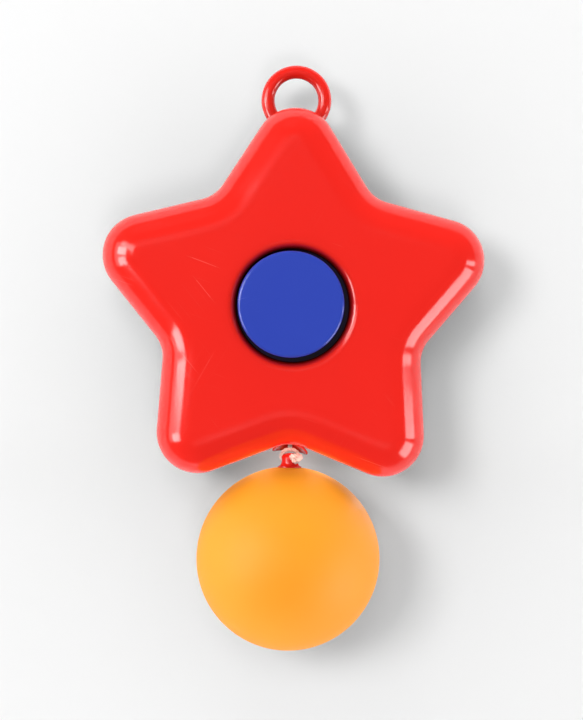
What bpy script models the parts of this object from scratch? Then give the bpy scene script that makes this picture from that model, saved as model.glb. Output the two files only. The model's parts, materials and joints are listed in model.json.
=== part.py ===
"""Hanging table tennis trainer: a ball on a cord that winds into a star-shaped reel casing.

The trainer hangs by its ring. Metres, +Z up, the button faces -Y, and the origin is the
point of the ring that rests on the hook.
"""

import math

import bmesh
import bpy
import numpy as np
from mathutils import Matrix, Vector

MM = 0.001

# Clearances
GAP = 0.3 * MM
RUN_GAP = 0.4 * MM
TRAVEL_MARGIN = 0.7 * MM

# Star casing
ARMS = 5
TIP_REACH = 43.2 * MM
TIP_RADIUS = 9.2 * MM
NOTCH_REACH = 30.0 * MM
NOTCH_RADIUS = 7.0 * MM
HALF_DEPTH = 13.0 * MM
EDGE_INSET = 8.2 * MM
EDGE_DRAFT = 0.3 * MM
WALL = 2.2 * MM
LIP_HEIGHT = 1.5 * MM
LIP_WALL = 1.0 * MM
LIP_ROOT = 2.2 * MM

# Hanging ring
RING_MEAN_RADIUS = 6.2 * MM
RING_WIRE_RADIUS = 1.45 * MM
RING_RISE = 45.2 * MM

# Casing screws
SCREW_CIRCLE = 28.0 * MM
SCREW_RADIUS = 0.9 * MM
SCREW_LENGTH = 12.0 * MM
SCREW_HEAD_RADIUS = 2.1 * MM
SCREW_CROWN_RADIUS = 1.5 * MM
SCREW_HEAD_HEIGHT = 1.4 * MM
SCREW_HEAD_DEPTH = 5.5 * MM
BOSS_WALL = 0.9 * MM

# Push button
BUTTON_RADIUS = 11.6 * MM
BUTTON_RAISE = 1.2 * MM
BUTTON_EDGE = 0.6 * MM
BUTTON_WALL = 1.4 * MM
BUTTON_PLAY = 0.7 * MM
BUTTON_SHIFT_X = -0.35 * MM
BUTTON_SHIFT_Z = 0.2 * MM
BUTTON_TRAVEL = 2.5 * MM
BUTTON_STOP_WIDTH = 1.9 * MM
BUTTON_STOP_HEIGHT = 1.3 * MM
HOLE_LIP = 1.6 * MM

# Brake worked by the button
ROD_RADIUS = 2.0 * MM
ROD_TAIL_RADIUS = 1.4 * MM
ROD_TAIL_LENGTH = 1.5 * MM
ROD_BOSS_WALL = 1.3 * MM
PAD_HEIGHT = 0.8 * MM
PAD_INNER_RADIUS = 3.0 * MM
DISC_HEIGHT = 1.0 * MM
LUG_WIDTH = 2.0 * MM
HUB_BORE_RADIUS = 6.1 * MM
HUB_WALL = 1.7 * MM
HUB_SHOULDER = 1.8 * MM
RETURN_COIL_RADIUS = 4.2 * MM
RETURN_WIRE_RADIUS = 0.4 * MM
RETURN_COILS = 6
THRUST_RIB_WALL = 1.6 * MM
THRUST_RIB_ROOM = 1.0 * MM

# Reel
WEB_HEIGHT = 1.4 * MM
COLLAR_WALL = 1.2 * MM
COLLAR_LENGTH = 2.0 * MM
RECOIL_STRIP = 0.3 * MM
RECOIL_PITCH = 0.82 * MM
RECOIL_TURNS = 5
DRUM_WALL = 1.0 * MM
FLANGE_HEIGHT = 1.4 * MM
FLANGE_RISE = 2.4 * MM
COVER_HEIGHT = 1.0 * MM
COVER_BACK_ROOM = 3.6 * MM

# Cord
CORD_RADIUS = 0.5 * MM
CORE_HEIGHT = 1.0 * MM
WINDING_STEP = 0.45 * MM
LEAD_STRAIGHT = 0.35
LEAD_BEND = Vector((2.6, -0.6, 4.6)) * MM
LEAD_ENTRY = Vector((0.5, -0.1, 1.9)) * MM

# Cord guide in the mouth of the casing
GUIDE_NECK_RADIUS = 3.0 * MM
GUIDE_LIP_RADIUS = 3.9 * MM
GUIDE_LIP_HEIGHT = 0.7 * MM
GUIDE_COLLAR_RADIUS = 3.7 * MM
GUIDE_COLLAR_HEIGHT = 0.8 * MM
GUIDE_THROAT_RADIUS = 1.1 * MM
GUIDE_MOUTH_RADIUS = 3.2 * MM
GUIDE_FLARE = 2.8 * MM

# Ball, its stem and the cord's loop
BALL_RADIUS = 20.0 * MM
BALL_WALL = 0.4 * MM
EYE_BELOW_GUIDE = 2.4 * MM
EYE_RISE = 1.5 * MM
EYE_BEAD_RADIUS = 1.25 * MM
EYE_BEAD_UNDERCUT = math.radians(40)
STEM_BASE_RADIUS = 2.35 * MM
STEM_SHANK_RADIUS = 1.6 * MM
STEM_BARB = 1.0 * MM
STEM_BARB_HEIGHT = 0.8 * MM
LOOP_BEND = 0.6 * MM
LOOP_RISE = 2.3 * MM
KNOT_HALF = Vector((1.35, 0.9, 1.0)) * MM
KNOT_PLACE = Vector((1.15, -2.25, 0.6)) * MM

# Facets
TIP_STEPS = 8
NOTCH_STEPS = 4
EDGE_STEPS = 5
INNER_STEPS = 3
TURN_STEPS = 28
SMALL_STEPS = 12
STEM_STEPS = 20
FILLET_STEPS = 4
WINDING_STEPS = 24
RECOIL_STEPS = 18
RETURN_STEPS = 10
ROUTE_STEPS = 3
BALL_STEPS = 14
SMOOTH_ANGLE = math.radians(35)
PIVOT_MARK = 5.0 * MM

# Places worked out from the sizes, in the star's own frame: its centre is the zero
STAR_Z = -(RING_RISE + RING_MEAN_RADIUS - RING_WIRE_RADIUS)
PARTING = GAP / 2
FRONT_INNER = -(HALF_DEPTH - WALL)
BACK_INNER = HALF_DEPTH - WALL
HOLE_RADIUS = BUTTON_RADIUS + BUTTON_PLAY
STOP_RADIUS = HOLE_RADIUS + BUTTON_STOP_WIDTH
STOP_BACK = FRONT_INNER + GAP + BUTTON_STOP_HEIGHT
WEB_FRONT = STOP_BACK + BUTTON_TRAVEL + TRAVEL_MARGIN
WEB_BACK = WEB_FRONT + WEB_HEIGHT
PAD_FRONT = WEB_BACK + GAP
DISC_FRONT = PAD_FRONT + PAD_HEIGHT + GAP
DISC_BACK = DISC_FRONT + DISC_HEIGHT
HUB_RADIUS = HUB_BORE_RADIUS + HUB_WALL
HUB_FRONT = WEB_BACK + 2 * GAP
DISC_RADIUS = HUB_BORE_RADIUS - RUN_GAP
COVER_BACK = BACK_INNER - COVER_BACK_ROOM
COVER_FRONT = COVER_BACK - COVER_HEIGHT
FLANGE_BACK = COVER_FRONT - GAP
FLANGE_FRONT = FLANGE_BACK - FLANGE_HEIGHT
RECOIL_INNER = HUB_RADIUS + RUN_GAP
RECOIL_OUTER = RECOIL_INNER + RECOIL_TURNS * RECOIL_PITCH + RECOIL_STRIP
DRUM_INNER = RECOIL_OUTER + RUN_GAP
DRUM_OUTER = DRUM_INNER + DRUM_WALL
CORE_INNER = DRUM_OUTER + GAP
CORE_OUTER = CORE_INNER + CORE_HEIGHT
WINDING_RADIUS = CORE_OUTER + GAP + CORD_RADIUS
FLANGE_RADIUS = WINDING_RADIUS + CORD_RADIUS + FLANGE_RISE
WINDING_PITCH = 2 * CORD_RADIUS + WINDING_STEP
WINDING_ROOM = FLANGE_FRONT - WEB_BACK - 2 * (RUN_GAP + CORD_RADIUS)
WINDING_TURNS = math.floor(WINDING_ROOM / WINDING_PITCH)
BOSS_RADIUS = SCREW_HEAD_RADIUS + RUN_GAP + BOSS_WALL
SCREW_SEAT = HALF_DEPTH - SCREW_HEAD_DEPTH - SCREW_HEAD_HEIGHT
NOTCH_CENTRE = -(NOTCH_REACH + NOTCH_RADIUS)
MOUTH_INNER = -(NOTCH_REACH - WALL)
GUIDE_TOP = MOUTH_INNER + GAP + GUIDE_COLLAR_HEIGHT
GUIDE_LIP_BOTTOM = -(NOTCH_REACH + GAP + GUIDE_LIP_HEIGHT)
THROAT_Z = GUIDE_LIP_BOTTOM + GUIDE_FLARE
EYE_Z = GUIDE_LIP_BOTTOM - EYE_BELOW_GUIDE
EYE_HOLE_RADIUS = CORD_RADIUS + GAP
LOOP_TOP = EYE_Z + LOOP_RISE + CORD_RADIUS
DROP_TOP = GUIDE_TOP - 2 * CORD_RADIUS
LEAD_END = DROP_TOP + GAP


def clear_scene():
    for thing in list(bpy.data.objects):
        bpy.data.objects.remove(thing, do_unlink=True)


def new_group(name):
    group = bpy.data.collections.new(name)
    bpy.context.scene.collection.children.link(group)
    return group


def plastic(name, colour, roughness, metallic=0.0):
    """A material with one colour and finish."""
    material = bpy.data.materials.new(name)
    material.use_nodes = True
    shader = material.node_tree.nodes["Principled BSDF"]
    shader.inputs["Base Color"].default_value = (*colour, 1.0)
    shader.inputs["Roughness"].default_value = roughness
    shader.inputs["Metallic"].default_value = metallic
    material.diffuse_color = (*colour, 1.0)
    return material


def pivot(name, place):
    """An empty on a joint's axis, in the star's frame."""
    empty = bpy.data.objects.new(name, None)
    empty.location = (place[0], place[1], place[2] + STAR_Z)
    empty.empty_display_size = PIVOT_MARK
    parts.objects.link(empty)
    return empty


def put(thing, group, parent, material=None):
    """Move an object to a group, hang it on its pivot and give it its material."""
    for owner in list(thing.users_collection):
        owner.objects.unlink(thing)
    group.objects.link(thing)
    thing.parent = parent
    if material is not None:
        thing.data.materials.append(material)
    return thing


def mesh_from(name, mesh_data):
    """Close a bmesh into an object with its faces turned outwards."""
    bmesh.ops.recalc_face_normals(mesh_data, faces=mesh_data.faces)
    mesh = bpy.data.meshes.new(name)
    mesh_data.to_mesh(mesh)
    mesh_data.free()
    mesh.shade_smooth()
    mesh.set_sharp_from_angle(angle=SMOOTH_ANGLE)
    return bpy.data.objects.new(name, mesh)


def loft(name, rings):
    """A closed skin over rings of equal point counts, capped at both ends."""
    skin = bmesh.new()
    loops = [[skin.verts.new(point) for point in ring] for ring in rings]
    count = len(rings[0])
    for lower, upper in zip(loops, loops[1:]):
        for i in range(count):
            j = (i + 1) % count
            skin.faces.new((lower[i], lower[j], upper[j], upper[i]))
    skin.faces.new(loops[0])
    skin.faces.new(loops[-1])
    return mesh_from(name, skin)


def turned(name, profile, axis, steps, closed=False):
    """A lathe shape: (radius, height) points turned round Y or Z."""
    area = 0.0
    for (r0, h0), (r1, h1) in zip(profile, profile[1:] + profile[:1]):
        area += r0 * h1 - r1 * h0
    points = list(reversed(profile)) if area > 0 else list(profile)
    if axis == "Y":
        places = [(r, h, 0.0) for r, h in points]
    else:
        places = [(r, 0.0, h) for r, h in points]
    edges = [(i, i + 1) for i in range(len(points) - 1)]
    if closed:
        edges.append((len(points) - 1, 0))
    mesh = bpy.data.meshes.new(name)
    mesh.from_pydata(places, edges, [])
    thing = bpy.data.objects.new(name, mesh)
    screw = thing.modifiers.new("turn", "SCREW")
    screw.axis = axis
    screw.angle = 2 * math.pi
    screw.steps = steps
    screw.render_steps = steps
    screw.use_merge_vertices = True
    screw.merge_threshold = 1e-6
    screw.use_smooth_shade = False
    return thing


def cylinders(name, radius, places, near, far, steps):
    """Cylinders along Y from near to far at each (x, z) place, in one object."""
    rods = bmesh.new()
    for x, z in places:
        middle = Matrix.Translation((x, (near + far) / 2, z))
        bmesh.ops.create_cone(
            rods,
            cap_ends=True,
            segments=steps,
            radius1=radius,
            radius2=radius,
            depth=abs(far - near),
            matrix=middle @ Matrix.Rotation(math.pi / 2, 4, "X"),
        )
    return mesh_from(name, rods)


def block(name, low, high):
    """A box between two corners."""
    box = bmesh.new()
    size = Vector(high) - Vector(low)
    middle = (Vector(high) + Vector(low)) / 2
    place = Matrix.Translation(middle) @ Matrix.Diagonal((*size, 1.0))
    bmesh.ops.create_cube(box, size=1.0, matrix=place)
    return mesh_from(name, box)


def tube(name, points, radius, cyclic=False, resolution=2):
    """A round wire along points."""
    curve = bpy.data.curves.new(name, "CURVE")
    curve.dimensions = "3D"
    curve.bevel_depth = radius
    curve.bevel_resolution = resolution
    curve.use_fill_caps = not cyclic
    spline = curve.splines.new("POLY")
    spline.points.add(len(points) - 1)
    for target, point in zip(spline.points, points):
        target.co = (*point, 1.0)
    spline.use_cyclic_u = cyclic
    return bpy.data.objects.new(name, curve)


def ring(name, mean_radius, wire_radius, rise):
    """A round ring about Y, with its centre at height rise."""
    bpy.ops.mesh.primitive_torus_add(
        major_segments=TURN_STEPS,
        minor_segments=SMALL_STEPS - 2,
        major_radius=mean_radius,
        minor_radius=wire_radius,
    )
    thing = bpy.context.object
    thing.name = name
    thing.data.transform(Matrix.Translation((0, 0, rise)) @ Matrix.Rotation(math.pi / 2, 4, "X"))
    thing.data.shade_smooth()
    return thing


def combine(thing, other, operation):
    """Join, cut or intersect a piece with a tool shape."""
    put(other, cutters, thing.parent)
    other.hide_render = True
    other.display_type = "WIRE"
    change = thing.modifiers.new(other.name, "BOOLEAN")
    change.operation = operation
    change.solver = "EXACT"
    change.object = other


def join(thing, other):
    combine(thing, other, "UNION")


def cut(thing, other):
    combine(thing, other, "DIFFERENCE")


def star_outline(inset):
    """The star's outline drawn in by inset: arcs at tips and notches, with straight flanks."""
    half_sector = math.pi / ARMS
    tip_centre = TIP_REACH - TIP_RADIUS
    notch_centre = NOTCH_REACH + NOTCH_RADIUS
    across_x = notch_centre * math.cos(half_sector) - tip_centre
    across = complex(across_x, notch_centre * math.sin(half_sector))
    lean = math.acos((TIP_RADIUS + NOTCH_RADIUS) / abs(across))
    flank = math.atan2(across.imag, across.real) - lean
    points = []
    for arm in range(ARMS):
        axis = math.pi / 2 + arm * 2 * half_sector
        for angle in np.linspace(axis - flank, axis + flank, TIP_STEPS + 1):
            radius = TIP_RADIUS - inset
            points.append(
                (
                    tip_centre * math.cos(axis) + radius * math.cos(angle),
                    tip_centre * math.sin(axis) + radius * math.sin(angle),
                )
            )
        valley = axis + half_sector
        swing = flank - half_sector
        for angle in np.linspace(valley + math.pi + swing, valley + math.pi - swing, NOTCH_STEPS + 1):
            radius = NOTCH_RADIUS + inset
            points.append(
                (
                    notch_centre * math.cos(valley) + radius * math.cos(angle),
                    notch_centre * math.sin(valley) + radius * math.sin(angle),
                )
            )
    return points


def star_ring(inset, y):
    return [(x, y, z) for x, z in star_outline(inset)]


def edge_profile(skin, draft, steps):
    """(inset, height) down a round edge and its side wall, from the flat to the parting plane."""
    radius = EDGE_INSET - skin - draft
    centre = HALF_DEPTH - skin - radius
    for angle in np.linspace(math.pi / 2, 0.0, steps + 1):
        yield skin + draft + radius * (1 - math.cos(angle)), centre + radius * math.sin(angle)
    yield skin, PARTING


def front_shell_skin():
    """Front half of the casing: outer skin, flat rim and inner skin in one loft."""
    outer = [star_ring(inset, -height) for inset, height in edge_profile(0.0, EDGE_DRAFT, EDGE_STEPS)]
    inner = [star_ring(inset, -height) for inset, height in edge_profile(WALL, 0.0, INNER_STEPS)]
    return loft("front_shell", outer + inner[::-1])


def back_shell_skin():
    """Back half of the casing, with a lip that stands inside the front half's rim."""
    outer = [star_ring(inset, height) for inset, height in edge_profile(0.0, EDGE_DRAFT, EDGE_STEPS)]
    lip_outside = WALL + GAP
    lip_inside = lip_outside + LIP_WALL
    lip = [
        star_ring(lip_outside, PARTING),
        star_ring(lip_outside, PARTING - LIP_HEIGHT),
        star_ring(lip_inside, PARTING - LIP_HEIGHT),
        star_ring(lip_inside, PARTING),
    ]
    inner = [
        star_ring(inset, height)
        for inset, height in edge_profile(WALL, 0.0, INNER_STEPS)
        if height > PARTING + LIP_ROOT
    ]
    return loft("back_shell", outer + lip + inner[::-1])


def arm_places(reach):
    """(x, z) of a point on each arm's axis."""
    turns = [math.pi / 2 + arm * 2 * math.pi / ARMS for arm in range(ARMS)]
    return [(reach * math.cos(turn), reach * math.sin(turn)) for turn in turns]


def button_hole():
    """Cutter for the button's hole, with a rounded lip at the face."""
    lip = [
        (HOLE_RADIUS + HOLE_LIP * (1 - math.cos(angle)), -HALF_DEPTH + HOLE_LIP * (1 - math.sin(angle)))
        for angle in np.linspace(0.0, math.pi / 2, FILLET_STEPS + 1)
    ]
    outside = -HALF_DEPTH - HOLE_LIP
    profile = [(0.0, FRONT_INNER + WALL), (HOLE_RADIUS, FRONT_INNER + WALL)]
    profile += lip + [(HOLE_RADIUS + HOLE_LIP, outside), (0.0, outside)]
    return turned("button_hole", profile, "Y", TURN_STEPS)


def mouth_cutter(name):
    """Cutter for the guide's neck and collar through the casing's wall."""
    neck = GUIDE_NECK_RADIUS + GAP
    collar = GUIDE_COLLAR_RADIUS + GAP
    bottom = NOTCH_CENTRE
    top = GUIDE_TOP + LIP_WALL + WALL
    profile = [
        (0.0, bottom),
        (neck, bottom),
        (neck, MOUTH_INNER),
        (collar, MOUTH_INNER),
        (collar, top),
        (0.0, top),
    ]
    return turned(name, profile, "Z", TURN_STEPS)


def make_front_shell():
    shell = put(front_shell_skin(), parts, casing_frame, red)
    root = FRONT_INNER - WALL / 4
    bosses = cylinders("front_bosses", BOSS_RADIUS, arm_places(SCREW_CIRCLE), root, -PARTING, SMALL_STEPS)
    join(shell, bosses)
    inner = STOP_RADIUS + THRUST_RIB_ROOM
    outer = inner + THRUST_RIB_WALL
    top = WEB_FRONT - GAP
    rib = turned(
        "thrust_rib",
        [(inner, root), (outer, root), (outer, top), (inner, top)],
        "Y",
        TURN_STEPS,
        closed=True,
    )
    join(shell, rib)
    cut(shell, button_hole())
    pilot_end = SCREW_SEAT - SCREW_LENGTH - TRAVEL_MARGIN
    pilots = cylinders(
        "screw_pilots", SCREW_RADIUS + GAP, arm_places(SCREW_CIRCLE), pilot_end, TRAVEL_MARGIN, SMALL_STEPS
    )
    cut(shell, pilots)
    cut(shell, ring("front_ring_seat", RING_MEAN_RADIUS, RING_WIRE_RADIUS + GAP, RING_RISE))
    cut(shell, mouth_cutter("front_mouth"))


def make_back_shell():
    shell = put(back_shell_skin(), parts, casing_frame, red)
    root = BACK_INNER + WALL / 4
    bosses = cylinders("back_bosses", BOSS_RADIUS, arm_places(SCREW_CIRCLE), PARTING, root, SMALL_STEPS)
    join(shell, bosses)
    shoulder = HUB_RADIUS + HUB_SHOULDER
    shoulder_front = COVER_BACK + GAP
    hub = turned(
        "hub",
        [
            (HUB_BORE_RADIUS, HUB_FRONT),
            (HUB_RADIUS, HUB_FRONT),
            (HUB_RADIUS, shoulder_front),
            (shoulder, shoulder_front),
            (shoulder, root),
            (HUB_BORE_RADIUS, root),
        ],
        "Y",
        TURN_STEPS,
        closed=True,
    )
    join(shell, hub)
    slot_half = LUG_WIDTH / 2 + RUN_GAP
    slot_end = DISC_BACK + BUTTON_TRAVEL + TRAVEL_MARGIN
    slots = block(
        "lug_slots",
        (-shoulder, HUB_FRONT - GAP, -slot_half),
        (shoulder, slot_end, slot_half),
    )
    cut(shell, slots)
    head_room = SCREW_HEAD_RADIUS + RUN_GAP
    outside = HALF_DEPTH + WALL
    seats = cylinders("screw_seats", head_room, arm_places(SCREW_CIRCLE), SCREW_SEAT, outside, SMALL_STEPS)
    cut(shell, seats)
    holes = cylinders(
        "screw_holes",
        SCREW_RADIUS + GAP,
        arm_places(SCREW_CIRCLE),
        -TRAVEL_MARGIN,
        SCREW_SEAT + TRAVEL_MARGIN,
        SMALL_STEPS,
    )
    cut(shell, holes)
    ring_room = RING_MEAN_RADIUS + RING_WIRE_RADIUS + GAP
    lip_gap = cylinders("lip_gap", ring_room, [(0.0, RING_RISE)], -2 * LIP_HEIGHT, 0.0, TURN_STEPS)
    cut(shell, lip_gap)
    cut(shell, ring("back_ring_seat", RING_MEAN_RADIUS, RING_WIRE_RADIUS + GAP, RING_RISE))
    cut(shell, mouth_cutter("back_mouth"))


def make_screws():
    """Self-tapping screws, driven from the back into the front half's bosses."""
    seat = SCREW_SEAT + GAP
    tip = seat - SCREW_LENGTH
    crown = seat + SCREW_HEAD_HEIGHT
    profile = [
        (0.0, tip),
        (SCREW_RADIUS / 2, tip + SCREW_RADIUS),
        (SCREW_RADIUS, tip + 2 * SCREW_RADIUS),
        (SCREW_RADIUS, seat),
        (SCREW_HEAD_RADIUS, seat),
        (SCREW_HEAD_RADIUS, crown - SCREW_HEAD_HEIGHT / 2),
        (SCREW_CROWN_RADIUS, crown),
        (0.0, crown),
    ]
    names = ("screw_top", "screw_left", "screw_lower_left", "screw_lower_right", "screw_right")
    for name, (x, z) in zip(names, arm_places(SCREW_CIRCLE)):
        screw = put(turned(name, profile, "Y", SMALL_STEPS), parts, casing_frame, steel)
        screw.location = (x, 0.0, z)


def make_hanging_ring():
    put(ring("hanging_ring", RING_MEAN_RADIUS, RING_WIRE_RADIUS, RING_RISE), parts, casing_frame, red)


def make_cord_guide():
    """Eyelet clamped between the casing halves: arched lip outside, collar inside, flared bore."""
    lip_top = NOTCH_RADIUS - GAP
    guide = turned(
        "cord_guide",
        [
            (0.0, NOTCH_CENTRE),
            (GUIDE_LIP_RADIUS, NOTCH_CENTRE),
            (GUIDE_LIP_RADIUS, -NOTCH_REACH),
            (0.0, -NOTCH_REACH),
        ],
        "Z",
        TURN_STEPS,
    )
    put(guide, parts, casing_frame, red)
    reach = 2 * GUIDE_LIP_RADIUS
    arch = cylinders("lip_arch", lip_top, [(0.0, NOTCH_CENTRE)], -reach, reach, TURN_STEPS)
    combine(guide, arch, "INTERSECT")
    collar_bottom = MOUTH_INNER + GAP
    neck = turned(
        "guide_neck",
        [
            (0.0, NOTCH_CENTRE),
            (GUIDE_NECK_RADIUS, NOTCH_CENTRE),
            (GUIDE_NECK_RADIUS, collar_bottom),
            (GUIDE_COLLAR_RADIUS, collar_bottom),
            (GUIDE_COLLAR_RADIUS, GUIDE_TOP),
            (0.0, GUIDE_TOP),
        ],
        "Z",
        TURN_STEPS,
    )
    join(guide, neck)
    underside = NOTCH_RADIUS - GAP - GUIDE_LIP_HEIGHT
    hollow = cylinders("lip_underside", underside, [(0.0, NOTCH_CENTRE)], -reach, reach, TURN_STEPS)
    cut(guide, hollow)
    flare = [
        (
            GUIDE_THROAT_RADIUS + (GUIDE_MOUTH_RADIUS - GUIDE_THROAT_RADIUS) * (1 - math.cos(angle)),
            THROAT_Z - GUIDE_FLARE * math.sin(angle),
        )
        for angle in np.linspace(0.0, math.pi / 2, FILLET_STEPS + 2)
    ]
    entry = GUIDE_THROAT_RADIUS + GUIDE_COLLAR_HEIGHT
    bore = [(0.0, GUIDE_TOP + GAP), (entry, GUIDE_TOP + GAP), (GUIDE_THROAT_RADIUS, MOUTH_INNER)]
    bore += flare + [(GUIDE_MOUTH_RADIUS, NOTCH_CENTRE), (0.0, NOTCH_CENTRE)]
    cut(guide, turned("guide_bore", bore, "Z", TURN_STEPS))


def make_button():
    """Blue cup that stands proud of the face, with a stop flange and a socket for the rod."""
    face = -HALF_DEPTH - BUTTON_RAISE
    inside = BUTTON_RADIUS - BUTTON_WALL
    ceiling = face + BUTTON_WALL
    socket = ROD_RADIUS + BUTTON_PLAY
    edge = [
        (
            BUTTON_RADIUS - BUTTON_EDGE * (1 - math.sin(angle)),
            face + BUTTON_EDGE * (1 - math.cos(angle)),
        )
        for angle in np.linspace(0.0, math.pi / 2, FILLET_STEPS)
    ]
    stop_front = FRONT_INNER + GAP
    profile = [(0.0, face)] + edge
    profile += [
        (BUTTON_RADIUS, stop_front),
        (STOP_RADIUS, stop_front),
        (STOP_RADIUS, STOP_BACK),
        (inside, STOP_BACK),
        (inside, ceiling),
        (socket + ROD_BOSS_WALL, ceiling),
        (socket + ROD_BOSS_WALL, STOP_BACK),
        (socket, STOP_BACK),
        (socket, ceiling),
        (0.0, ceiling),
    ]
    button = put(turned("button", profile, "Y", TURN_STEPS), parts, reel_axis, blue)
    button.location = (BUTTON_SHIFT_X, 0.0, BUTTON_SHIFT_Z)


def make_push_rod():
    front = -HALF_DEPTH - BUTTON_RAISE + BUTTON_WALL + GAP
    shoulder = DISC_FRONT - GAP
    profile = [
        (0.0, front),
        (ROD_RADIUS, front),
        (ROD_RADIUS, shoulder),
        (ROD_TAIL_RADIUS, shoulder),
        (ROD_TAIL_RADIUS, DISC_BACK + ROD_TAIL_LENGTH),
        (0.0, DISC_BACK + ROD_TAIL_LENGTH),
    ]
    put(turned("push_rod", profile, "Y", SMALL_STEPS), parts, reel_axis, steel)


def make_brake():
    """Disc keyed in the fixed hub, with a friction pad that the return spring holds on the reel's web."""
    bore = ROD_TAIL_RADIUS + GAP
    disc = turned(
        "brake_disc",
        [(bore, DISC_FRONT), (DISC_RADIUS, DISC_FRONT), (DISC_RADIUS, DISC_BACK), (bore, DISC_BACK)],
        "Y",
        TURN_STEPS,
        closed=True,
    )
    put(disc, parts, reel_axis, white)
    lug_reach = HUB_RADIUS - RUN_GAP
    lug_root = (bore + DISC_RADIUS) / 2
    for side in (-1, 1):
        low, high = sorted((side * lug_root, side * lug_reach))
        lug = block(
            f"brake_lug_{'left' if side < 0 else 'right'}",
            (low, DISC_FRONT, -LUG_WIDTH / 2),
            (high, DISC_BACK, LUG_WIDTH / 2),
        )
        join(disc, lug)
    pad_back = PAD_FRONT + PAD_HEIGHT
    pad = turned(
        "brake_pad",
        [
            (PAD_INNER_RADIUS, PAD_FRONT),
            (DISC_RADIUS - RUN_GAP, PAD_FRONT),
            (DISC_RADIUS - RUN_GAP, pad_back),
            (PAD_INNER_RADIUS, pad_back),
        ],
        "Y",
        TURN_STEPS,
        closed=True,
    )
    put(pad, parts, reel_axis, black)


def make_return_spring():
    """Coil spring in the hub's bore, between the brake disc and the back wall."""
    front = DISC_BACK + GAP + RETURN_WIRE_RADIUS
    back = BACK_INNER - GAP - RETURN_WIRE_RADIUS
    count = RETURN_COILS * RETURN_STEPS
    points = []
    for i in range(count + 1):
        turn = 2 * math.pi * RETURN_COILS * i / count
        y = front + (back - front) * i / count
        points.append((RETURN_COIL_RADIUS * math.cos(turn), y, RETURN_COIL_RADIUS * math.sin(turn)))
    put(tube("return_spring", points, RETURN_WIRE_RADIUS, resolution=1), parts, casing_frame, steel)


def make_spool():
    """Reel: a web with a bearing collar on the hub, a drum for the cord and two flanges."""
    collar_inner = HUB_RADIUS + GAP
    collar_outer = collar_inner + COLLAR_WALL
    collar_back = WEB_BACK + COLLAR_LENGTH
    rod_hole = ROD_RADIUS + RUN_GAP
    profile = [
        (rod_hole, WEB_FRONT),
        (FLANGE_RADIUS, WEB_FRONT),
        (FLANGE_RADIUS, WEB_BACK),
        (DRUM_OUTER, WEB_BACK),
        (DRUM_OUTER, FLANGE_FRONT),
        (FLANGE_RADIUS, FLANGE_FRONT),
        (FLANGE_RADIUS, FLANGE_BACK),
        (DRUM_INNER, FLANGE_BACK),
        (DRUM_INNER, WEB_BACK),
        (collar_outer, WEB_BACK),
        (collar_outer, collar_back),
        (collar_inner, collar_back),
        (collar_inner, WEB_BACK),
        (rod_hole, WEB_BACK),
    ]
    put(turned("spool", profile, "Y", TURN_STEPS, closed=True), parts, reel_axis, white)


def make_spring_cover():
    """Washer-shaped lid over the recoil spring, running on the hub."""
    inner = HUB_RADIUS + GAP
    outer = DRUM_OUTER + FLANGE_RISE
    profile = [(inner, COVER_FRONT), (outer, COVER_FRONT), (outer, COVER_BACK), (inner, COVER_BACK)]
    put(turned("spring_cover", profile, "Y", TURN_STEPS, closed=True), parts, reel_axis, white)


def make_recoil_spring():
    """Flat spiral spring from the fixed hub out to the drum."""
    front = WEB_BACK + COLLAR_LENGTH + RUN_GAP
    back = COVER_FRONT - RUN_GAP
    count = RECOIL_TURNS * RECOIL_STEPS
    inner_side = []
    outer_side = []
    for i in range(count + 1):
        turn = 2 * math.pi * RECOIL_TURNS * i / count
        radius = RECOIL_INNER + RECOIL_PITCH * RECOIL_TURNS * i / count
        direction = Vector((math.cos(turn), 0.0, math.sin(turn)))
        inner_side.append(direction * radius)
        outer_side.append(direction * (radius + RECOIL_STRIP))
    strip = bmesh.new()
    rows = []
    for near, far in zip(inner_side, outer_side):
        corners = ((near, front), (far, front), (far, back), (near, back))
        rows.append([strip.verts.new((point.x, y, point.z)) for point, y in corners])
    for row, following in zip(rows, rows[1:]):
        for i in range(4):
            j = (i + 1) % 4
            strip.faces.new((row[i], row[j], following[j], following[i]))
    strip.faces.new(rows[0])
    strip.faces.new(rows[-1])
    put(mesh_from("recoil_spring", strip), parts, casing_frame, steel)


def lead_tangent():
    """Angle of the drum where the cord leaves for the guide, and the way it runs."""
    angle = -math.pi / 2 + math.acos(WINDING_RADIUS / -LEAD_END)
    way = Vector((math.sin(angle), 0.0, -math.cos(angle)))
    return angle, way


def winding_front():
    spare = WINDING_ROOM - WINDING_TURNS * WINDING_PITCH
    return WEB_BACK + RUN_GAP + CORD_RADIUS + spare / 2


def make_winding():
    """The cord's outer layer of turns on the drum, over a plain ring that stands for the layers below."""
    core_front = WEB_BACK + GAP
    core_back = FLANGE_FRONT - GAP
    core = [
        (CORE_INNER, core_front),
        (CORE_OUTER, core_front),
        (CORE_OUTER, core_back),
        (CORE_INNER, core_back),
    ]
    put(turned("cord_core", core, "Y", TURN_STEPS, closed=True), parts, reel_axis, cream)
    angle, way = lead_tangent()
    count = WINDING_TURNS * WINDING_STEPS
    points = []
    for i in range(count + 1):
        turn = angle + 2 * math.pi * i / WINDING_STEPS
        y = winding_front() + WINDING_PITCH * i / WINDING_STEPS
        points.append(Vector((WINDING_RADIUS * math.cos(turn), y, WINDING_RADIUS * math.sin(turn))))
    points.insert(0, points[0] + way * 2 * CORD_RADIUS)
    put(tube("cord_winding", points, CORD_RADIUS, resolution=1), parts, reel_axis, cream)
    places = np.array(points)
    apart = np.linalg.norm(places[:, None] - places[None, :], axis=2)
    order = np.arange(len(points))
    far_along = np.abs(order[:, None] - order[None, :]) > WINDING_STEPS // 2
    least = apart[far_along].min() - 2 * CORD_RADIUS
    print(f"cord_winding: {WINDING_TURNS} turns, least gap to itself {least / MM:.2f} mm")


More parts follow.
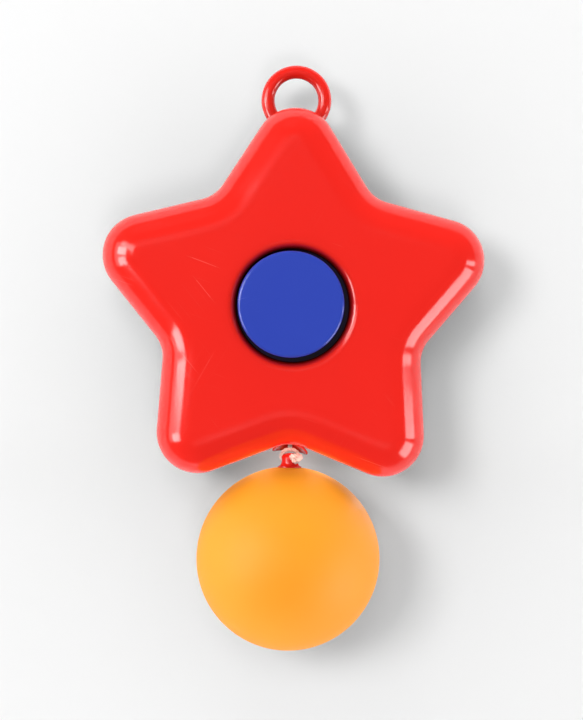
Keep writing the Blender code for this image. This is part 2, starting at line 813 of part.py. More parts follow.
def smooth_route(corners, count):
    """Points along a Catmull-Rom curve through the corners."""
    ends = [2 * corners[0] - corners[1]] + corners + [2 * corners[-1] - corners[-2]]
    points = []
    for a, b, c, d in zip(ends, ends[1:], ends[2:], ends[3:]):
        for i in range(count):
            t = i / count
            square = 2 * a - 5 * b + 4 * c - d
            cube = 3 * b - a - 3 * c + d
            points.append((2 * b + (c - a) * t + square * t**2 + cube * t**3) / 2)
    return points + [corners[-1]]


def make_cord_lead():
    """The cord inside the casing, from the winding to the guide's throat."""
    angle, way = lead_tangent()
    leaves = Vector((WINDING_RADIUS * math.cos(angle), winding_front(), WINDING_RADIUS * math.sin(angle)))
    start = leaves + way * (2 * CORD_RADIUS + GAP)
    end = Vector((0.0, 0.0, LEAD_END))
    reach = (end - start).length
    corners = [start, start + way * reach * LEAD_STRAIGHT, end + LEAD_BEND, end + LEAD_ENTRY, end]
    route = smooth_route(corners, ROUTE_STEPS)
    put(tube("cord_lead", route, CORD_RADIUS), parts, casing_frame, cream)


def make_cord_drop():
    """The short stretch of cord in the guide, above the loop. Its origin is the throat."""
    top = DROP_TOP - THROAT_Z
    bottom = LOOP_TOP + GAP - THROAT_Z
    points = [Vector((0.0, 0.0, top + (bottom - top) * i / 3)) for i in range(4)]
    put(tube("cord_drop", points, CORD_RADIUS), parts, mouth_pivot, cream)


def make_cord_loop():
    """Loop tied through the stem's eye. Its origin is the eye."""
    reach = EYE_BEAD_RADIUS + GAP + CORD_RADIUS
    low = LOOP_BEND * (1 - math.sqrt(0.5))
    chord = math.sqrt(reach**2 - low**2) - LOOP_BEND * math.sqrt(0.5)
    half_width = chord + LOOP_BEND
    points = [Vector((x, 0.0, 0.0)) for x in np.linspace(-chord, chord, 5)]
    for angle in np.linspace(-math.pi / 2, 0.0, 5)[1:]:
        points.append(Vector((chord + LOOP_BEND * math.cos(angle), 0.0, LOOP_BEND * (1 + math.sin(angle)))))
    for angle in np.linspace(0.0, math.pi, 15)[1:]:
        rise = LOOP_BEND + (LOOP_RISE - LOOP_BEND) * math.sin(angle)
        points.append(Vector((half_width * math.cos(angle), 0.0, rise)))
    for angle in np.linspace(math.pi, 1.5 * math.pi, 5)[1:-1]:
        points.append(Vector((-chord + LOOP_BEND * math.cos(angle), 0.0, LOOP_BEND * (1 + math.sin(angle)))))
    put(tube("cord_loop", points, CORD_RADIUS, cyclic=True), parts, eye_pivot, cream)


def make_cord_knot():
    """Knot that closes the loop, in front of the eye."""
    blob = bmesh.new()
    shape = Matrix.Translation(KNOT_PLACE) @ Matrix.Diagonal((*KNOT_HALF, 1.0))
    bmesh.ops.create_uvsphere(
        blob,
        u_segments=SMALL_STEPS + 2,
        v_segments=SMALL_STEPS - 3,
        radius=1.0,
        matrix=shape,
    )
    put(mesh_from("cord_knot", blob), parts, eye_pivot, cream)


def make_ball_stem():
    """Plug snapped into the ball: a bead with an eye, a base, a shank and a barb inside."""
    bead = [
        (EYE_BEAD_RADIUS * math.cos(angle), EYE_BEAD_RADIUS * math.sin(angle))
        for angle in np.linspace(math.pi / 2, -EYE_BEAD_UNDERCUT, SMALL_STEPS - 3)
    ]
    base_bottom = -EYE_RISE + GAP
    base_top = base_bottom + GAP
    wall_inside = -EYE_RISE - BALL_WALL
    barb_top = wall_inside - 1.5 * GAP
    barb_bottom = barb_top - STEM_BARB_HEIGHT
    barb = STEM_SHANK_RADIUS + STEM_BARB
    bead[0] = (0.0, EYE_BEAD_RADIUS)
    profile = bead + [
        ((EYE_BEAD_RADIUS + STEM_SHANK_RADIUS) / 2, base_top + GAP / 2),
        (STEM_BASE_RADIUS - GAP / 2, base_top),
        (STEM_BASE_RADIUS, base_bottom),
        (STEM_SHANK_RADIUS, base_bottom),
        (STEM_SHANK_RADIUS, barb_top),
        (barb, barb_top),
        (STEM_SHANK_RADIUS, barb_bottom),
        (0.0, barb_bottom),
    ]
    stem = put(turned("ball_stem", profile, "Z", STEM_STEPS), parts, eye_pivot, red)
    reach = 2 * EYE_BEAD_RADIUS
    eye = cylinders("stem_eye", EYE_HOLE_RADIUS, [(0.0, 0.0)], -reach, reach, SMALL_STEPS)
    eye.data.transform(Matrix.Rotation(math.pi / 2, 4, "Z"))
    cut(stem, eye)


def make_ball():
    """Hollow ball with a small hole at the top for the stem."""
    centre = -EYE_RISE - BALL_RADIUS
    hole = STEM_SHANK_RADIUS + GAP

    def meridian(radius, steps):
        start = math.asin(hole / radius)
        return [
            (radius * math.sin(angle), centre + radius * math.cos(angle))
            for angle in np.linspace(start, math.pi, steps + 1)
        ]

    outer = meridian(BALL_RADIUS, BALL_STEPS)
    inner = meridian(BALL_RADIUS - BALL_WALL, BALL_STEPS - 2)
    outer[-1] = (0.0, outer[-1][1])
    inner[-1] = (0.0, inner[-1][1])
    put(turned("ball", inner[::-1] + outer, "Z", TURN_STEPS), parts, eye_pivot, orange)


clear_scene()
parts = new_group("hanging_table_tennis_trainer")
cutters = new_group("tool_shapes")

red = plastic("red_plastic", (0.80, 0.024, 0.015), 0.25)
blue = plastic("blue_plastic", (0.03, 0.058, 0.46), 0.3)
white = plastic("natural_plastic", (0.78, 0.76, 0.70), 0.4)
black = plastic("brake_rubber", (0.03, 0.03, 0.03), 0.8)
steel = plastic("zinc_plated_steel", (0.62, 0.62, 0.64), 0.3, metallic=1.0)
cream = plastic("twisted_cord", (0.85, 0.74, 0.66), 0.9)
orange = plastic("orange_ball", (0.98, 0.36, 0.03), 0.5)

casing_frame = pivot("casing_frame", (0.0, 0.0, 0.0))
reel_axis = pivot("reel_axis", (0.0, 0.0, 0.0))
mouth_pivot = pivot("mouth_pivot", (0.0, 0.0, THROAT_Z))
eye_pivot = pivot("eye_pivot", (0.0, 0.0, EYE_Z))

make_front_shell()
make_back_shell()
make_screws()
make_hanging_ring()
make_cord_guide()
make_button()
make_push_rod()
make_brake()
make_return_spring()
make_spool()
make_spring_cover()
make_recoil_spring()
make_winding()
make_cord_lead()
make_cord_drop()
make_cord_loop()
make_cord_knot()
make_ball_stem()
make_ball()
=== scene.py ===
"""Looks of the hanging table tennis trainer: a ball on a cord that winds into a star-shaped casing.

Metres, in the frame of the solids: +Z up, the button faces -Y, and the ring hangs at the origin.
"""

import json
import math

import bmesh
import bpy
import numpy as np
from mathutils import Matrix, Vector

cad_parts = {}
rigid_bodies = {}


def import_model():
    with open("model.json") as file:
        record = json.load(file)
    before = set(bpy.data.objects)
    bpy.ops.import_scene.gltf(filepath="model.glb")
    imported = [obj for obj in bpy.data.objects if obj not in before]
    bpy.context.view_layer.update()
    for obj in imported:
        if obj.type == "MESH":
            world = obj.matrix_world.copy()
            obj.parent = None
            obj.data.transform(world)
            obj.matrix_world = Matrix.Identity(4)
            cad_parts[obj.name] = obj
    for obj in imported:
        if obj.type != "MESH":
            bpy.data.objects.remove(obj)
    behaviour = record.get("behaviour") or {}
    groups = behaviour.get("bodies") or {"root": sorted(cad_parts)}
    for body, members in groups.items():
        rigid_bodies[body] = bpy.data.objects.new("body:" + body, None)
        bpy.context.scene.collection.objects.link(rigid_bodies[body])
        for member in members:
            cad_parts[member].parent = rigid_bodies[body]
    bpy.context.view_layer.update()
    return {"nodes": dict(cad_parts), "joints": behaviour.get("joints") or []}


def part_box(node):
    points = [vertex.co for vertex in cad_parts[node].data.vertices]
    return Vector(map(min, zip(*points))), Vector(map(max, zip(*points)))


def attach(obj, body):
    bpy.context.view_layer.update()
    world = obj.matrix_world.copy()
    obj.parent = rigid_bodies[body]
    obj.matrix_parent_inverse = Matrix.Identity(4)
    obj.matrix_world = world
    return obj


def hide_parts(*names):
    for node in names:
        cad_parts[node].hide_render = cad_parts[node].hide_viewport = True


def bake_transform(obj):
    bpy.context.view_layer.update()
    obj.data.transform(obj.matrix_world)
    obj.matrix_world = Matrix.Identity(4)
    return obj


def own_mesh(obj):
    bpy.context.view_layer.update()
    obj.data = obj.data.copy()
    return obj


for thing in list(bpy.data.objects):
    bpy.data.objects.remove(thing, do_unlink=True)

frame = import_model()
scene = bpy.context.scene
scene.view_settings.view_transform = "Standard"
MM = 0.001


# Camera. The photograph looks straight at the button from well back, so the star keeps its true
# outline, and the trainer lies about a degree clockwise in the picture.
photo_size = Vector((583, 720))
star_pixel = Vector((292.6, 307.1))
ball_pixels = 182.9
ball_diameter = 40 * MM
lean = math.radians(1.06)
camera_distance = 0.4
pixel = ball_diameter / ball_pixels
joints = {joint["name"]: joint for joint in frame["joints"]}
star_centre = Vector(joints["spool_spin"]["pos_m"])
picture_right = Vector((math.cos(lean), 0.0, math.sin(lean)))
picture_up = Vector((-math.sin(lean), 0.0, math.cos(lean)))
off_centre = (photo_size / 2 - star_pixel) * pixel
lens = bpy.data.cameras.new("photo_view")
lens.sensor_width = 36.0
lens.lens = lens.sensor_width * camera_distance / (photo_size.y * pixel)
lens.clip_start = 0.01
camera = bpy.data.objects.new("photo_view", lens)
camera.location = star_centre + picture_right * off_centre.x - picture_up * off_centre.y
camera.location.y -= camera_distance
camera.rotation_euler = (math.pi / 2, -lean, 0.0)
scene.collection.objects.link(camera)
scene.camera = camera


# Casing, both halves. Two glossy red mouldings with one star outline, tips and notches rounded and
# the edge turned over in a wide fillet, meet at a fine seam half way round the side. The sweep of
# the edge round the star comes from Geometry Nodes; plates, bosses, rib and hub are added to it.
class Wire:
    """A node tree's socket: operators on it add Math nodes, and node() adds any other node."""

    def __init__(self, tree, socket=None):
        self.tree = tree
        self.socket = socket

    def node(self, kind, settings, sockets, output=0):
        made = self.tree.nodes.new(kind)
        for name, value in settings.items():
            setattr(made, name, value)
        for name, value in sockets.items():
            if isinstance(value, Wire):
                self.tree.links.new(value.socket, made.inputs[name])
            else:
                made.inputs[name].default_value = value
        return Wire(self.tree, made.outputs[output])

    def maths(self, operation, *values):
        return self.node("ShaderNodeMath", {"operation": operation}, dict(enumerate(values)))

    def vectors(self, operation, *values, output=0):
        return self.node("ShaderNodeVectorMath", {"operation": operation}, dict(enumerate(values)), output)

    def __add__(self, other):
        return self.maths("ADD", self, other)

    def __sub__(self, other):
        return self.maths("SUBTRACT", self, other)

    def __mul__(self, other):
        return self.maths("MULTIPLY", self, other)

    def __truediv__(self, other):
        return self.maths("DIVIDE", self, other)

    def __mod__(self, other):
        return self.maths("MODULO", self, other)

    def __radd__(self, other):
        return self.maths("ADD", other, self)

    def __rsub__(self, other):
        return self.maths("SUBTRACT", other, self)

    def __rmul__(self, other):
        return self.maths("MULTIPLY", other, self)

    def __rtruediv__(self, other):
        return self.maths("DIVIDE", other, self)

    def __rmod__(self, other):
        return self.maths("MODULO", other, self)


def node_tree(name, sizes):
    """A Geometry Nodes tree with one named input for each size: its inputs and its way out."""
    tree = bpy.data.node_groups.new(name, "GeometryNodeTree")
    tree.interface.new_socket("Geometry", in_out="OUTPUT", socket_type="NodeSocketGeometry")
    tree.interface.new_socket("Geometry", in_out="INPUT", socket_type="NodeSocketGeometry")
    for size, kind in sizes.items():
        tree.interface.new_socket(size, in_out="INPUT", socket_type="NodeSocket" + kind)
    entry = tree.nodes.new("NodeGroupInput")
    way_out = tree.nodes.new("NodeGroupOutput")
    return Wire(tree), {socket.name: Wire(tree, socket) for socket in entry.outputs}, way_out


def settled(host):
    """An object's shape after its modifiers, as a plain mesh."""
    bpy.context.view_layer.update()
    return bpy.data.meshes.new_from_object(host.evaluated_get(bpy.context.evaluated_depsgraph_get()))


def grown(host, wire, sizes):
    """The plain mesh that a tree makes on a host object, which is then removed."""
    scene.collection.objects.link(host)
    change = host.modifiers.new(wire.tree.name, "NODES")
    change.node_group = wire.tree
    inputs = [item for item in wire.tree.interface.items_tree if item.in_out == "INPUT"]
    for item in inputs:
        if item.name in sizes:
            change[item.identifier] = sizes[item.name]
    mesh = settled(host)
    bpy.data.objects.remove(host)
    return mesh


def path_curve(name, points):
    """A curve object through points, not yet in the scene."""
    curve = bpy.data.curves.new(name, "CURVE")
    curve.dimensions = "3D"
    spline = curve.splines.new("POLY")
    spline.points.add(len(points) - 1)
    for target, point in zip(spline.points, points):
        target.co = (*point, 1.0)
    return bpy.data.objects.new(name, curve)


def about_axis(radius, y, turn):
    """A point on a circle round the reel's axis, which is the button's axis too."""
    return star_centre + Vector((radius * math.cos(turn), y, radius * math.sin(turn)))


def solid(name, shape):
    """A bmesh closed into a new object with its faces turned outwards."""
    bmesh.ops.recalc_face_normals(shape, faces=shape.faces)
    mesh = bpy.data.meshes.new(name)
    shape.to_mesh(mesh)
    shape.free()
    made = bpy.data.objects.new(name, mesh)
    scene.collection.objects.link(made)
    return made


def turned(name, profile, steps, centre, axis="Y", closed=False):
    """A lathe shape: (radius, height) points turned round an axis through the centre."""
    shape = bmesh.new()
    rings = []
    for radius, height in profile:
        ring = []
        for i in range(steps if radius > 0 else 1):
            turn = 2 * math.pi * i / steps
            x, other = radius * math.cos(turn), radius * math.sin(turn)
            place = (x, height, other) if axis == "Y" else (x, other, height)
            ring.append(shape.verts.new(centre + Vector(place)))
        rings.append(ring)
    following = rings[1:] + rings[:1] if closed else rings[1:]
    for near, far in zip(rings, following):
        for i in range(steps):
            places = ((near, i), (near, i + 1), (far, i + 1), (far, i))
            corners = [ring[j % len(ring)] for ring, j in places]
            shape.faces.new(list(dict.fromkeys(corners)))
    return solid(name, shape)


def carved(thing, changes):
    """The piece after joins and cuts with tool shapes, which are then removed."""
    for operation, tool in changes:
        change = thing.modifiers.new(operation.lower(), "BOOLEAN")
        change.operation = operation
        change.solver = "EXACT"
        change.object = tool
    mesh = settled(thing)
    thing.modifiers.clear()
    thing.data = mesh
    for tool in [tool for operation, tool in changes]:
        bpy.data.objects.remove(tool)
    return thing


def dress(thing, material, body, slot, *nodes):
    """Smooth a finished piece, give it its material and hang it on its body in place of nodes."""
    thing.data.shade_smooth()
    thing.data.set_sharp_from_angle(angle=math.radians(32))
    thing.data.materials.clear()
    thing.data.materials.append(material)
    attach(thing, body)
    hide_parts(*nodes)
    return thing


def finish(name):
    """A new material with its Principled shader and a wire to its tree."""
    material = bpy.data.materials.new(name)
    material.use_nodes = True
    return material, material.node_tree.nodes["Principled BSDF"], Wire(material.node_tree)


def feed(wire, shader, **sockets):
    """Link what varies over a surface to the shader's sockets, named with _ for spaces."""
    for name, value in sockets.items():
        wire.tree.links.new(value.socket, shader.inputs[name.replace("_", " ").title()])


def noise(wire, place, scale, detail=2.0, stretch=(1.0, 1.0, 1.0), turn=0.0):
    """Smooth noise from 0 to 1 on Object coordinates, stretched and turned about Y."""
    settings = {"vector_type": "TEXTURE"}
    spread = {"Vector": place, "Rotation": (0.0, turn, 0.0), "Scale": stretch}
    moved = wire.node("ShaderNodeMapping", settings, spread)
    return wire.node("ShaderNodeTexNoise", {}, {"Vector": moved, "Scale": scale, "Detail": detail})


def steps_between(wire, value, low, high):
    """0 below low, 1 above high and a smooth rise between."""
    settings = {"interpolation_type": "SMOOTHSTEP"}
    return wire.node("ShaderNodeMapRange", settings, {"Value": value, "From Min": low, "From Max": high})


def mixed(wire, share, first, second):
    """A colour between two."""
    return wire.node("ShaderNodeMix", {"data_type": "RGBA"}, {0: share, 6: first, 7: second}, output=2)


def bumped(wire, height, strength, distance):
    """A normal that follows a height."""
    return wire.node("ShaderNodeBump", {}, {"Height": height, "Strength": strength, "Distance": distance})


def hairlines(wire, place, turns):
    """Fine scratches in patches, one set of near-parallel hairlines for each turn."""
    lines = None
    for i, turn in enumerate(turns):
        streak = noise(wire, place, 4200.0, 0.0, (1.0, 100.0, 150.0 - 25.0 * i), turn)
        patch = noise(wire, place, 55.0 + 13.0 * i, 1.0)
        line = steps_between(wire, streak, 0.76, 0.82) * steps_between(wire, patch, 0.58, 0.68)
        lines = line if lines is None else lines + line
    return lines


half_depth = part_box("back_shell")[1].y
# Depths over which the painted shade in the button's gap darkens to its fullest.
unshaded_depth = -6.0 * MM
full_shade_depth = -8.0 * MM


def moulded_plastic(name, deep, fair, worn, roughness, scratch_turns, lip_shade_radii, shade_depths):
    """Glossy moulding: slow drift of tone, faint ripple of the mould, hairline scratches, and painted
    shade, near black, down in the gap between the button and its hole."""
    material, shader, wire = finish(name)
    place = wire.node("ShaderNodeTexCoord", {}, {}, "Object")
    scratches = hairlines(wire, place, scratch_turns)
    tone = mixed(wire, noise(wire, place, 38.0), (*deep, 1.0), (*fair, 1.0))
    colour = mixed(wire, scratches * 0.18, tone, (*worn, 1.0))
    from_centre = wire.vectors("SUBTRACT", place, star_centre)
    depth = wire.node("ShaderNodeSeparateXYZ", {}, {"Vector": from_centre}, "Y")
    flat = wire.vectors("MULTIPLY", from_centre, (1.0, 0.0, 1.0))
    radius = wire.vectors("LENGTH", flat, output="Value")
    # Painted shade: the colour goes near black on the hole's lip and down the side of the gap between button
    # and hole, where shade falls.
    on_shaded_lip = steps_between(wire, radius, lip_shade_radii[0], lip_shade_radii[1])
    painted_gap_shade = on_shaded_lip * steps_between(wire, depth, shade_depths[0], shade_depths[1])
    painted_gap_shade = painted_gap_shade * steps_between(wire, depth, unshaded_depth, full_shade_depth)
    colour = mixed(wire, painted_gap_shade * 0.93, colour, (0.01, 0.0, 0.0, 1.0))
    gloss = noise(wire, place, 130.0) * 0.06 + (roughness - 0.03) + scratches * 0.15
    ripple = noise(wire, place, 210.0, 1.0) + noise(wire, place, 2600.0) * 0.05 - scratches * 0.25
    feed(wire, shader, base_color=colour, roughness=gloss, normal=bumped(wire, ripple, 0.12, 0.0002))
    return material


red_plastic = moulded_plastic(
    "red_moulded_plastic",
    deep=(0.83, 0.014, 0.008),
    fair=(0.88, 0.018, 0.010),
    worn=(1.0, 0.16, 0.12),
    roughness=0.13,
    scratch_turns=(0.5, -0.7, 1.9),
    # Radii and depths where painted shade darkens the red round the button's hole.
    lip_shade_radii=(13.5 * MM, 12.0 * MM),
    shade_depths=(-13.5 * MM, -13.0 * MM),
)

arms = 5
tip_reach = 43.2 * MM
tip_radius = 9.2 * MM
notch_reach = 30.0 * MM
notch_radius = 7.0 * MM
edge_inset = 8.2 * MM
edge_draft = 0.3 * MM
casing_wall = 2.2 * MM
seam_half = 0.1 * MM
seam_round = 0.2 * MM
plate_margin = 0.25 * MM

half_sector = math.pi / arms
tip_centre = tip_reach - tip_radius
notch_centre = notch_reach + notch_radius
across = notch_centre * math.cos(half_sector) - tip_centre
along = notch_centre * math.sin(half_sector)
flank = math.atan2(along, across) - math.acos((tip_radius + notch_radius) / math.hypot(across, along))
tip_corner = tip_centre + tip_radius / math.cos(flank)
notch_corner = notch_centre - notch_radius / math.cos(flank - half_sector)

star_sizes = {
    "Tip corner": "Float",
    "Notch corner": "Float",
    "Tip radius": "Float",
    "Notch radius": "Float",
    "Corner points": "Int",
    "Spacing": "Float",
    "Edge": "Object",
    "Plastic": "Material",
}
star_wire, star_in, star_out = node_tree("star_edge", star_sizes)
star_curve = star_wire.node(
    "GeometryNodeCurveStar",
    {},
    {"Points": arms, "Inner Radius": star_in["Notch corner"], "Outer Radius": star_in["Tip corner"]},
)
is_notch = star_wire.node("GeometryNodeInputIndex", {}, {}) % 2.0
corner_radius = star_in["Tip radius"] + is_notch * (star_in["Notch radius"] - star_in["Tip radius"])
star_curve = star_wire.node(
    "GeometryNodeFilletCurve",
    {"mode": "POLY"},
    {"Curve": star_curve, "Count": star_in["Corner points"], "Radius": corner_radius},
)
star_curve = star_wire.node(
    "GeometryNodeResampleCurve", {"mode": "LENGTH"}, {"Curve": star_curve, "Length": star_in["Spacing"]}
)
star_curve = star_wire.node("GeometryNodeSetCurveNormal", {"mode": "Z_UP"}, {"Curve": star_curve})
edge_curve = star_wire.node("GeometryNodeObjectInfo", {}, {"Object": star_in["Edge"]}, "Geometry")
star_skin = star_wire.node("GeometryNodeCurveToMesh", {}, {"Curve": star_curve, "Profile Curve": edge_curve})
star_skin = star_wire.node(
    "GeometryNodeTransform",
    {},
    {
        "Geometry": star_skin,
        "Rotation": (math.pi / 2, -math.pi / 2, 0.0),
        "Translation": star_centre,
    },
)
star_skin = star_wire.node("GeometryNodeRealizeInstances", {}, {"Geometry": star_skin})
star_skin = star_wire.node(
    "GeometryNodeSetMaterial", {}, {"Geometry": star_skin, "Material": star_in["Plastic"]}
)
star_wire.tree.links.new(star_skin.socket, star_out.inputs[0])


def arc(middle, reach, first, last, count):
    """Points of an ellipse about a middle, from one angle to another in degrees."""
    return [
        (middle[0] + reach[0] * math.cos(angle), middle[1] + reach[1] * math.sin(angle))
        for angle in np.linspace(math.radians(first), math.radians(last), count)
    ]


def round_edge(skin, draft, count):
    """(inset, depth) of a casing half's edge, from its plate round the fillet to the side wall."""
    radius = edge_inset - skin - draft
    return arc((edge_inset, half_depth - skin - radius), (-radius, radius), 90, 0, count)


def casing_half(name, side, lip_inset, lip_end):
    """Open bmesh of a half's swept edge, and its outer and inner rims sorted round the star. From
    lip_inset on its wall ends at lip_end: short in one half, and past the seam in the other."""
    outline = [(edge_inset + plate_margin, half_depth)] + round_edge(0.0, edge_draft, 19)
    outline += [(0.0, seam_half + seam_round), (seam_round, seam_half)]
    outline += [(lip_inset, seam_half), (lip_inset, lip_end), (casing_wall, lip_end)]
    outline += round_edge(casing_wall, 0.0, 9)[::-1]
    edge = path_curve(name + "_edge", [(-inset, side * depth, 0.0) for inset, depth in outline])
    scene.collection.objects.link(edge)
    host = bpy.data.objects.new(name, bpy.data.meshes.new(name))
    sizes = {
        "Tip corner": tip_corner,
        "Notch corner": notch_corner,
        "Tip radius": tip_radius,
        "Notch radius": notch_radius,
        "Corner points": 40,
        "Spacing": 0.8 * MM,
        "Edge": edge,
        "Plastic": red_plastic,
    }
    shape = bmesh.new()
    shape.from_mesh(grown(host, star_wire, sizes))
    bpy.data.objects.remove(edge)
    bmesh.ops.remove_doubles(shape, verts=shape.verts, dist=1e-6)
    rim = [vert for vert in shape.verts if vert.is_boundary]
    rim.sort(key=lambda vert: math.atan2(vert.co.z - star_centre.z, vert.co.x))
    outer = [vert for vert in rim if abs(vert.co.y) > half_depth - casing_wall / 2]
    inner = [vert for vert in rim if abs(vert.co.y) < half_depth - casing_wall / 2]
    return shape, outer, inner


def plate(shape, rim, rings):
    """Faces from a rim through round rings (radius, y) about the button's axis."""
    for radius, y in rings:
        ring = []
        for vert in rim:
            turn = math.atan2(vert.co.z - star_centre.z, vert.co.x)
            ring.append(shape.verts.new(about_axis(radius, y, turn)))
        join_rims(shape, rim, ring)
        rim = ring
    return rim


def join_rims(shape, near, far):
    """A band of faces between two rims of equal counts."""
    for i in range(len(near)):
        j = (i + 1) % len(near)
        shape.faces.new((near[i], near[j], far[j], far[i]))


def on_arms(name, radius, near, far, steps):
    """Round bars along Y, one on each arm where its screw goes."""
    shape = bmesh.new()
    for arm in range(arms):
        turn = math.pi / 2 + arm * 2 * half_sector
        middle = about_axis(screw_circle, (near + far) / 2, turn)
        bmesh.ops.create_cone(
            shape,
            cap_ends=True,
            segments=steps,
            radius1=radius,
            radius2=radius,
            depth=abs(far - near),
            matrix=Matrix.Translation(middle) @ Matrix.Rotation(math.pi / 2, 4, "X"),
        )
    return solid(name, shape)


screw_circle = 28.0 * MM
screw_radius = 0.9 * MM
screw_room = 2.5 * MM
boss_radius = 3.4 * MM
screw_head_room = 1.7 * MM
screw_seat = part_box("screw_top")[1].y - screw_head_room
ring_radius = 6.2 * MM
ring_wire = 1.45 * MM
ring_centre = Vector((0.0, 0.0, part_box("hanging_ring")[1].z - ring_radius - ring_wire))
mouth_radius = 3.4 * MM
mouth_step = 4.2 * MM
fit = 0.2 * MM
running_gap = 0.3 * MM
overcut = 1.0 * MM


def ring_seat(name):
    """Tool that clears the casing for the hanging ring."""
    wire = ring_wire + fit
    circle = arc((ring_radius, 0.0), (wire, wire), 0, 360, 29)[:-1]
    return turned(name, circle, 72, ring_centre, closed=True)


def mouth(name):
    """Tool for the round mouth at the bottom notch."""
    bottom = -notch_reach - 2 * casing_wall
    top = -notch_reach + 2 * casing_wall
    step = -notch_reach + casing_wall / 3
    profile = [(0.0, bottom), (mouth_step, bottom), (mouth_step, step)]
    profile += [(mouth_radius, step), (mouth_radius, top), (0.0, top)]
    return turned(name, profile, 48, star_centre, "Z")


hole_radius = 11.95 * MM
hole_lip = 2.15 * MM
front_inside = -(half_depth - casing_wall)
recess_inset = 1.0 * MM
recess_end = 1.8 * MM
front_shape, front_rim, front_inner_rim = casing_half("front", -1, recess_inset, recess_end)
lip_reach = hole_radius + hole_lip
lip_rings = [(lip_reach + plate_margin, -half_depth)]
lip_rings += arc((lip_reach, hole_lip - half_depth), (-hole_lip, -hole_lip), 90, 0, 9)
lip_rings.append((hole_radius, front_inside))
hole_rim = plate(front_shape, front_rim, lip_rings)
join_rims(front_shape, hole_rim, front_inner_rim)
front_half = solid("casing_front", front_shape)
spool_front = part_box("spool")[0].y
rib_inner = 15.2 * MM
rib_outer = 16.8 * MM
rib_root = front_inside - casing_wall / 4
rib_top = spool_front - running_gap
pilot_end = -6.2 * MM
thrust_rib = turned(
    "thrust_rib",
    [(rib_inner, rib_root), (rib_outer, rib_root), (rib_outer, rib_top), (rib_inner, rib_top)],
    96,
    star_centre,
    closed=True,
)
carved(
    front_half,
    [
        ("UNION", on_arms("front_bosses", boss_radius, rib_root, -seam_half, 32)),
        ("UNION", thrust_rib),
        ("DIFFERENCE", on_arms("pilot_holes", screw_radius + fit, pilot_end, overcut, 24)),
        ("DIFFERENCE", ring_seat("front_ring_seat")),
        ("DIFFERENCE", mouth("front_mouth")),
    ],
)
dress(front_half, red_plastic, "casing", "red_casing", "front_shell")

back_inside = half_depth - casing_wall
tongue_inset = 1.1 * MM
tongue_end = -1.5 * MM
back_shape, back_rim, back_inner_rim = casing_half("back", 1, tongue_inset, tongue_end)
plate_core = 6.0 * MM
back_shape.faces.new(plate(back_shape, back_rim, [(plate_core, half_depth)]))
back_shape.faces.new(plate(back_shape, back_inner_rim, [(plate_core, back_inside)]))
back_half = solid("casing_back", back_shape)
hub_bore = 6.1 * MM
hub_radius = 7.8 * MM
hub_shoulder = 9.6 * MM
hub_root = back_inside + casing_wall / 4
hub_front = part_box("brake_pad")[0].y + running_gap
shoulder_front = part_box("spring_cover")[1].y + running_gap
hub = turned(
    "hub",
    [
        (hub_bore, hub_front),
        (hub_radius, hub_front),
        (hub_radius, shoulder_front),
        (hub_shoulder, shoulder_front),
        (hub_shoulder, hub_root),
        (hub_bore, hub_root),
    ],
    72,
    star_centre,
    closed=True,
)
slot_half = 1.4 * MM
lug_room = 3.2 * MM
slot_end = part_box("brake_disc")[1].y + lug_room
slots = bmesh.new()
slot_size = Vector((2 * hub_shoulder, slot_end - hub_front + 2 * overcut, 2 * slot_half))
slot_middle = star_centre + Vector((0.0, slot_end - slot_size.y / 2, 0.0))
slot_place = Matrix.Translation(slot_middle) @ Matrix.Diagonal((*slot_size, 1.0))
bmesh.ops.create_cube(slots, size=1.0, matrix=slot_place)
carved(
    back_half,
    [
        ("UNION", on_arms("back_bosses", boss_radius, seam_half, hub_root, 32)),
        ("UNION", hub),
        ("DIFFERENCE", solid("lug_slots", slots)),
        ("DIFFERENCE", on_arms("screw_recesses", screw_room, screw_seat, half_depth + casing_wall, 40)),
        ("DIFFERENCE", on_arms("screw_holes", screw_radius + fit, -overcut, screw_seat + overcut, 24)),
        ("DIFFERENCE", ring_seat("back_ring_seat")),
        ("DIFFERENCE", mouth("back_mouth")),
    ],
)
dress(back_half, red_plastic, "casing", "red_casing", "back_shell")


# Casing screws. Five zinc-plated self-tapping screws with pan heads and cross recesses sit deep in
# the back, one in each arm. Geometry Nodes set one modelled screw on the five arms.
def speckled(name, tones, tone_noise, gloss_noise, gloss_range, least_gloss):
    """A finish whose tone and gloss wander by two noises, each given by its scale and detail."""
    material, shader, wire = finish(name)
    place = wire.node("ShaderNodeTexCoord", {}, {}, "Object")
    tone = mixed(wire, noise(wire, place, *tone_noise), *tones)
    gloss = noise(wire, place, *gloss_noise) * gloss_range + least_gloss
    feed(wire, shader, base_color=tone, roughness=gloss)
    return material, shader, wire, place


steel_tones = (0.5, 0.5, 0.52, 1.0), (0.68, 0.67, 0.65, 1.0)
steel, steel_shader, *_ = speckled("zinc_plated_steel", steel_tones, (900.0, 2.0), (1500.0, 3.0), 0.2, 0.22)
steel_shader.inputs["Metallic"].default_value = 1.0

screw_tip, screw_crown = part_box("screw_top")[0].y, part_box("screw_top")[1].y
head_radius = 2.1 * MM
head_height = 1.4 * MM
head_base = screw_crown - head_height
thread_pitch = 0.9 * MM
thread_depth = 0.18 * MM
point_length = 0.3 * MM
plain_shank = 1.2 * MM
screw_profile = [(0.0, screw_tip), (screw_radius / 3, screw_tip + point_length)]
thread_start = screw_tip + 2 * screw_radius
for turn in range(int((head_base - plain_shank - thread_start) / thread_pitch)):
    crest = thread_start + turn * thread_pitch
    screw_profile += [(screw_radius - thread_depth, crest), (screw_radius, crest + thread_pitch / 2)]
screw_profile += [(screw_radius - thread_depth, head_base), (head_radius, head_base)]
head_side = 0.35 * head_height
screw_profile += arc((0.0, head_base + head_side), (head_radius, head_height - head_side), 0, 90, 7)[:-1]
screw_profile.append((0.0, screw_crown))
one_screw = turned("one_screw", screw_profile, 28, Vector((0.0, 0.0, 0.0)))
cross_width = 0.55 * MM
cross_length = 2.3 * MM
cross_depth = 0.8 * MM
cross_bars = []
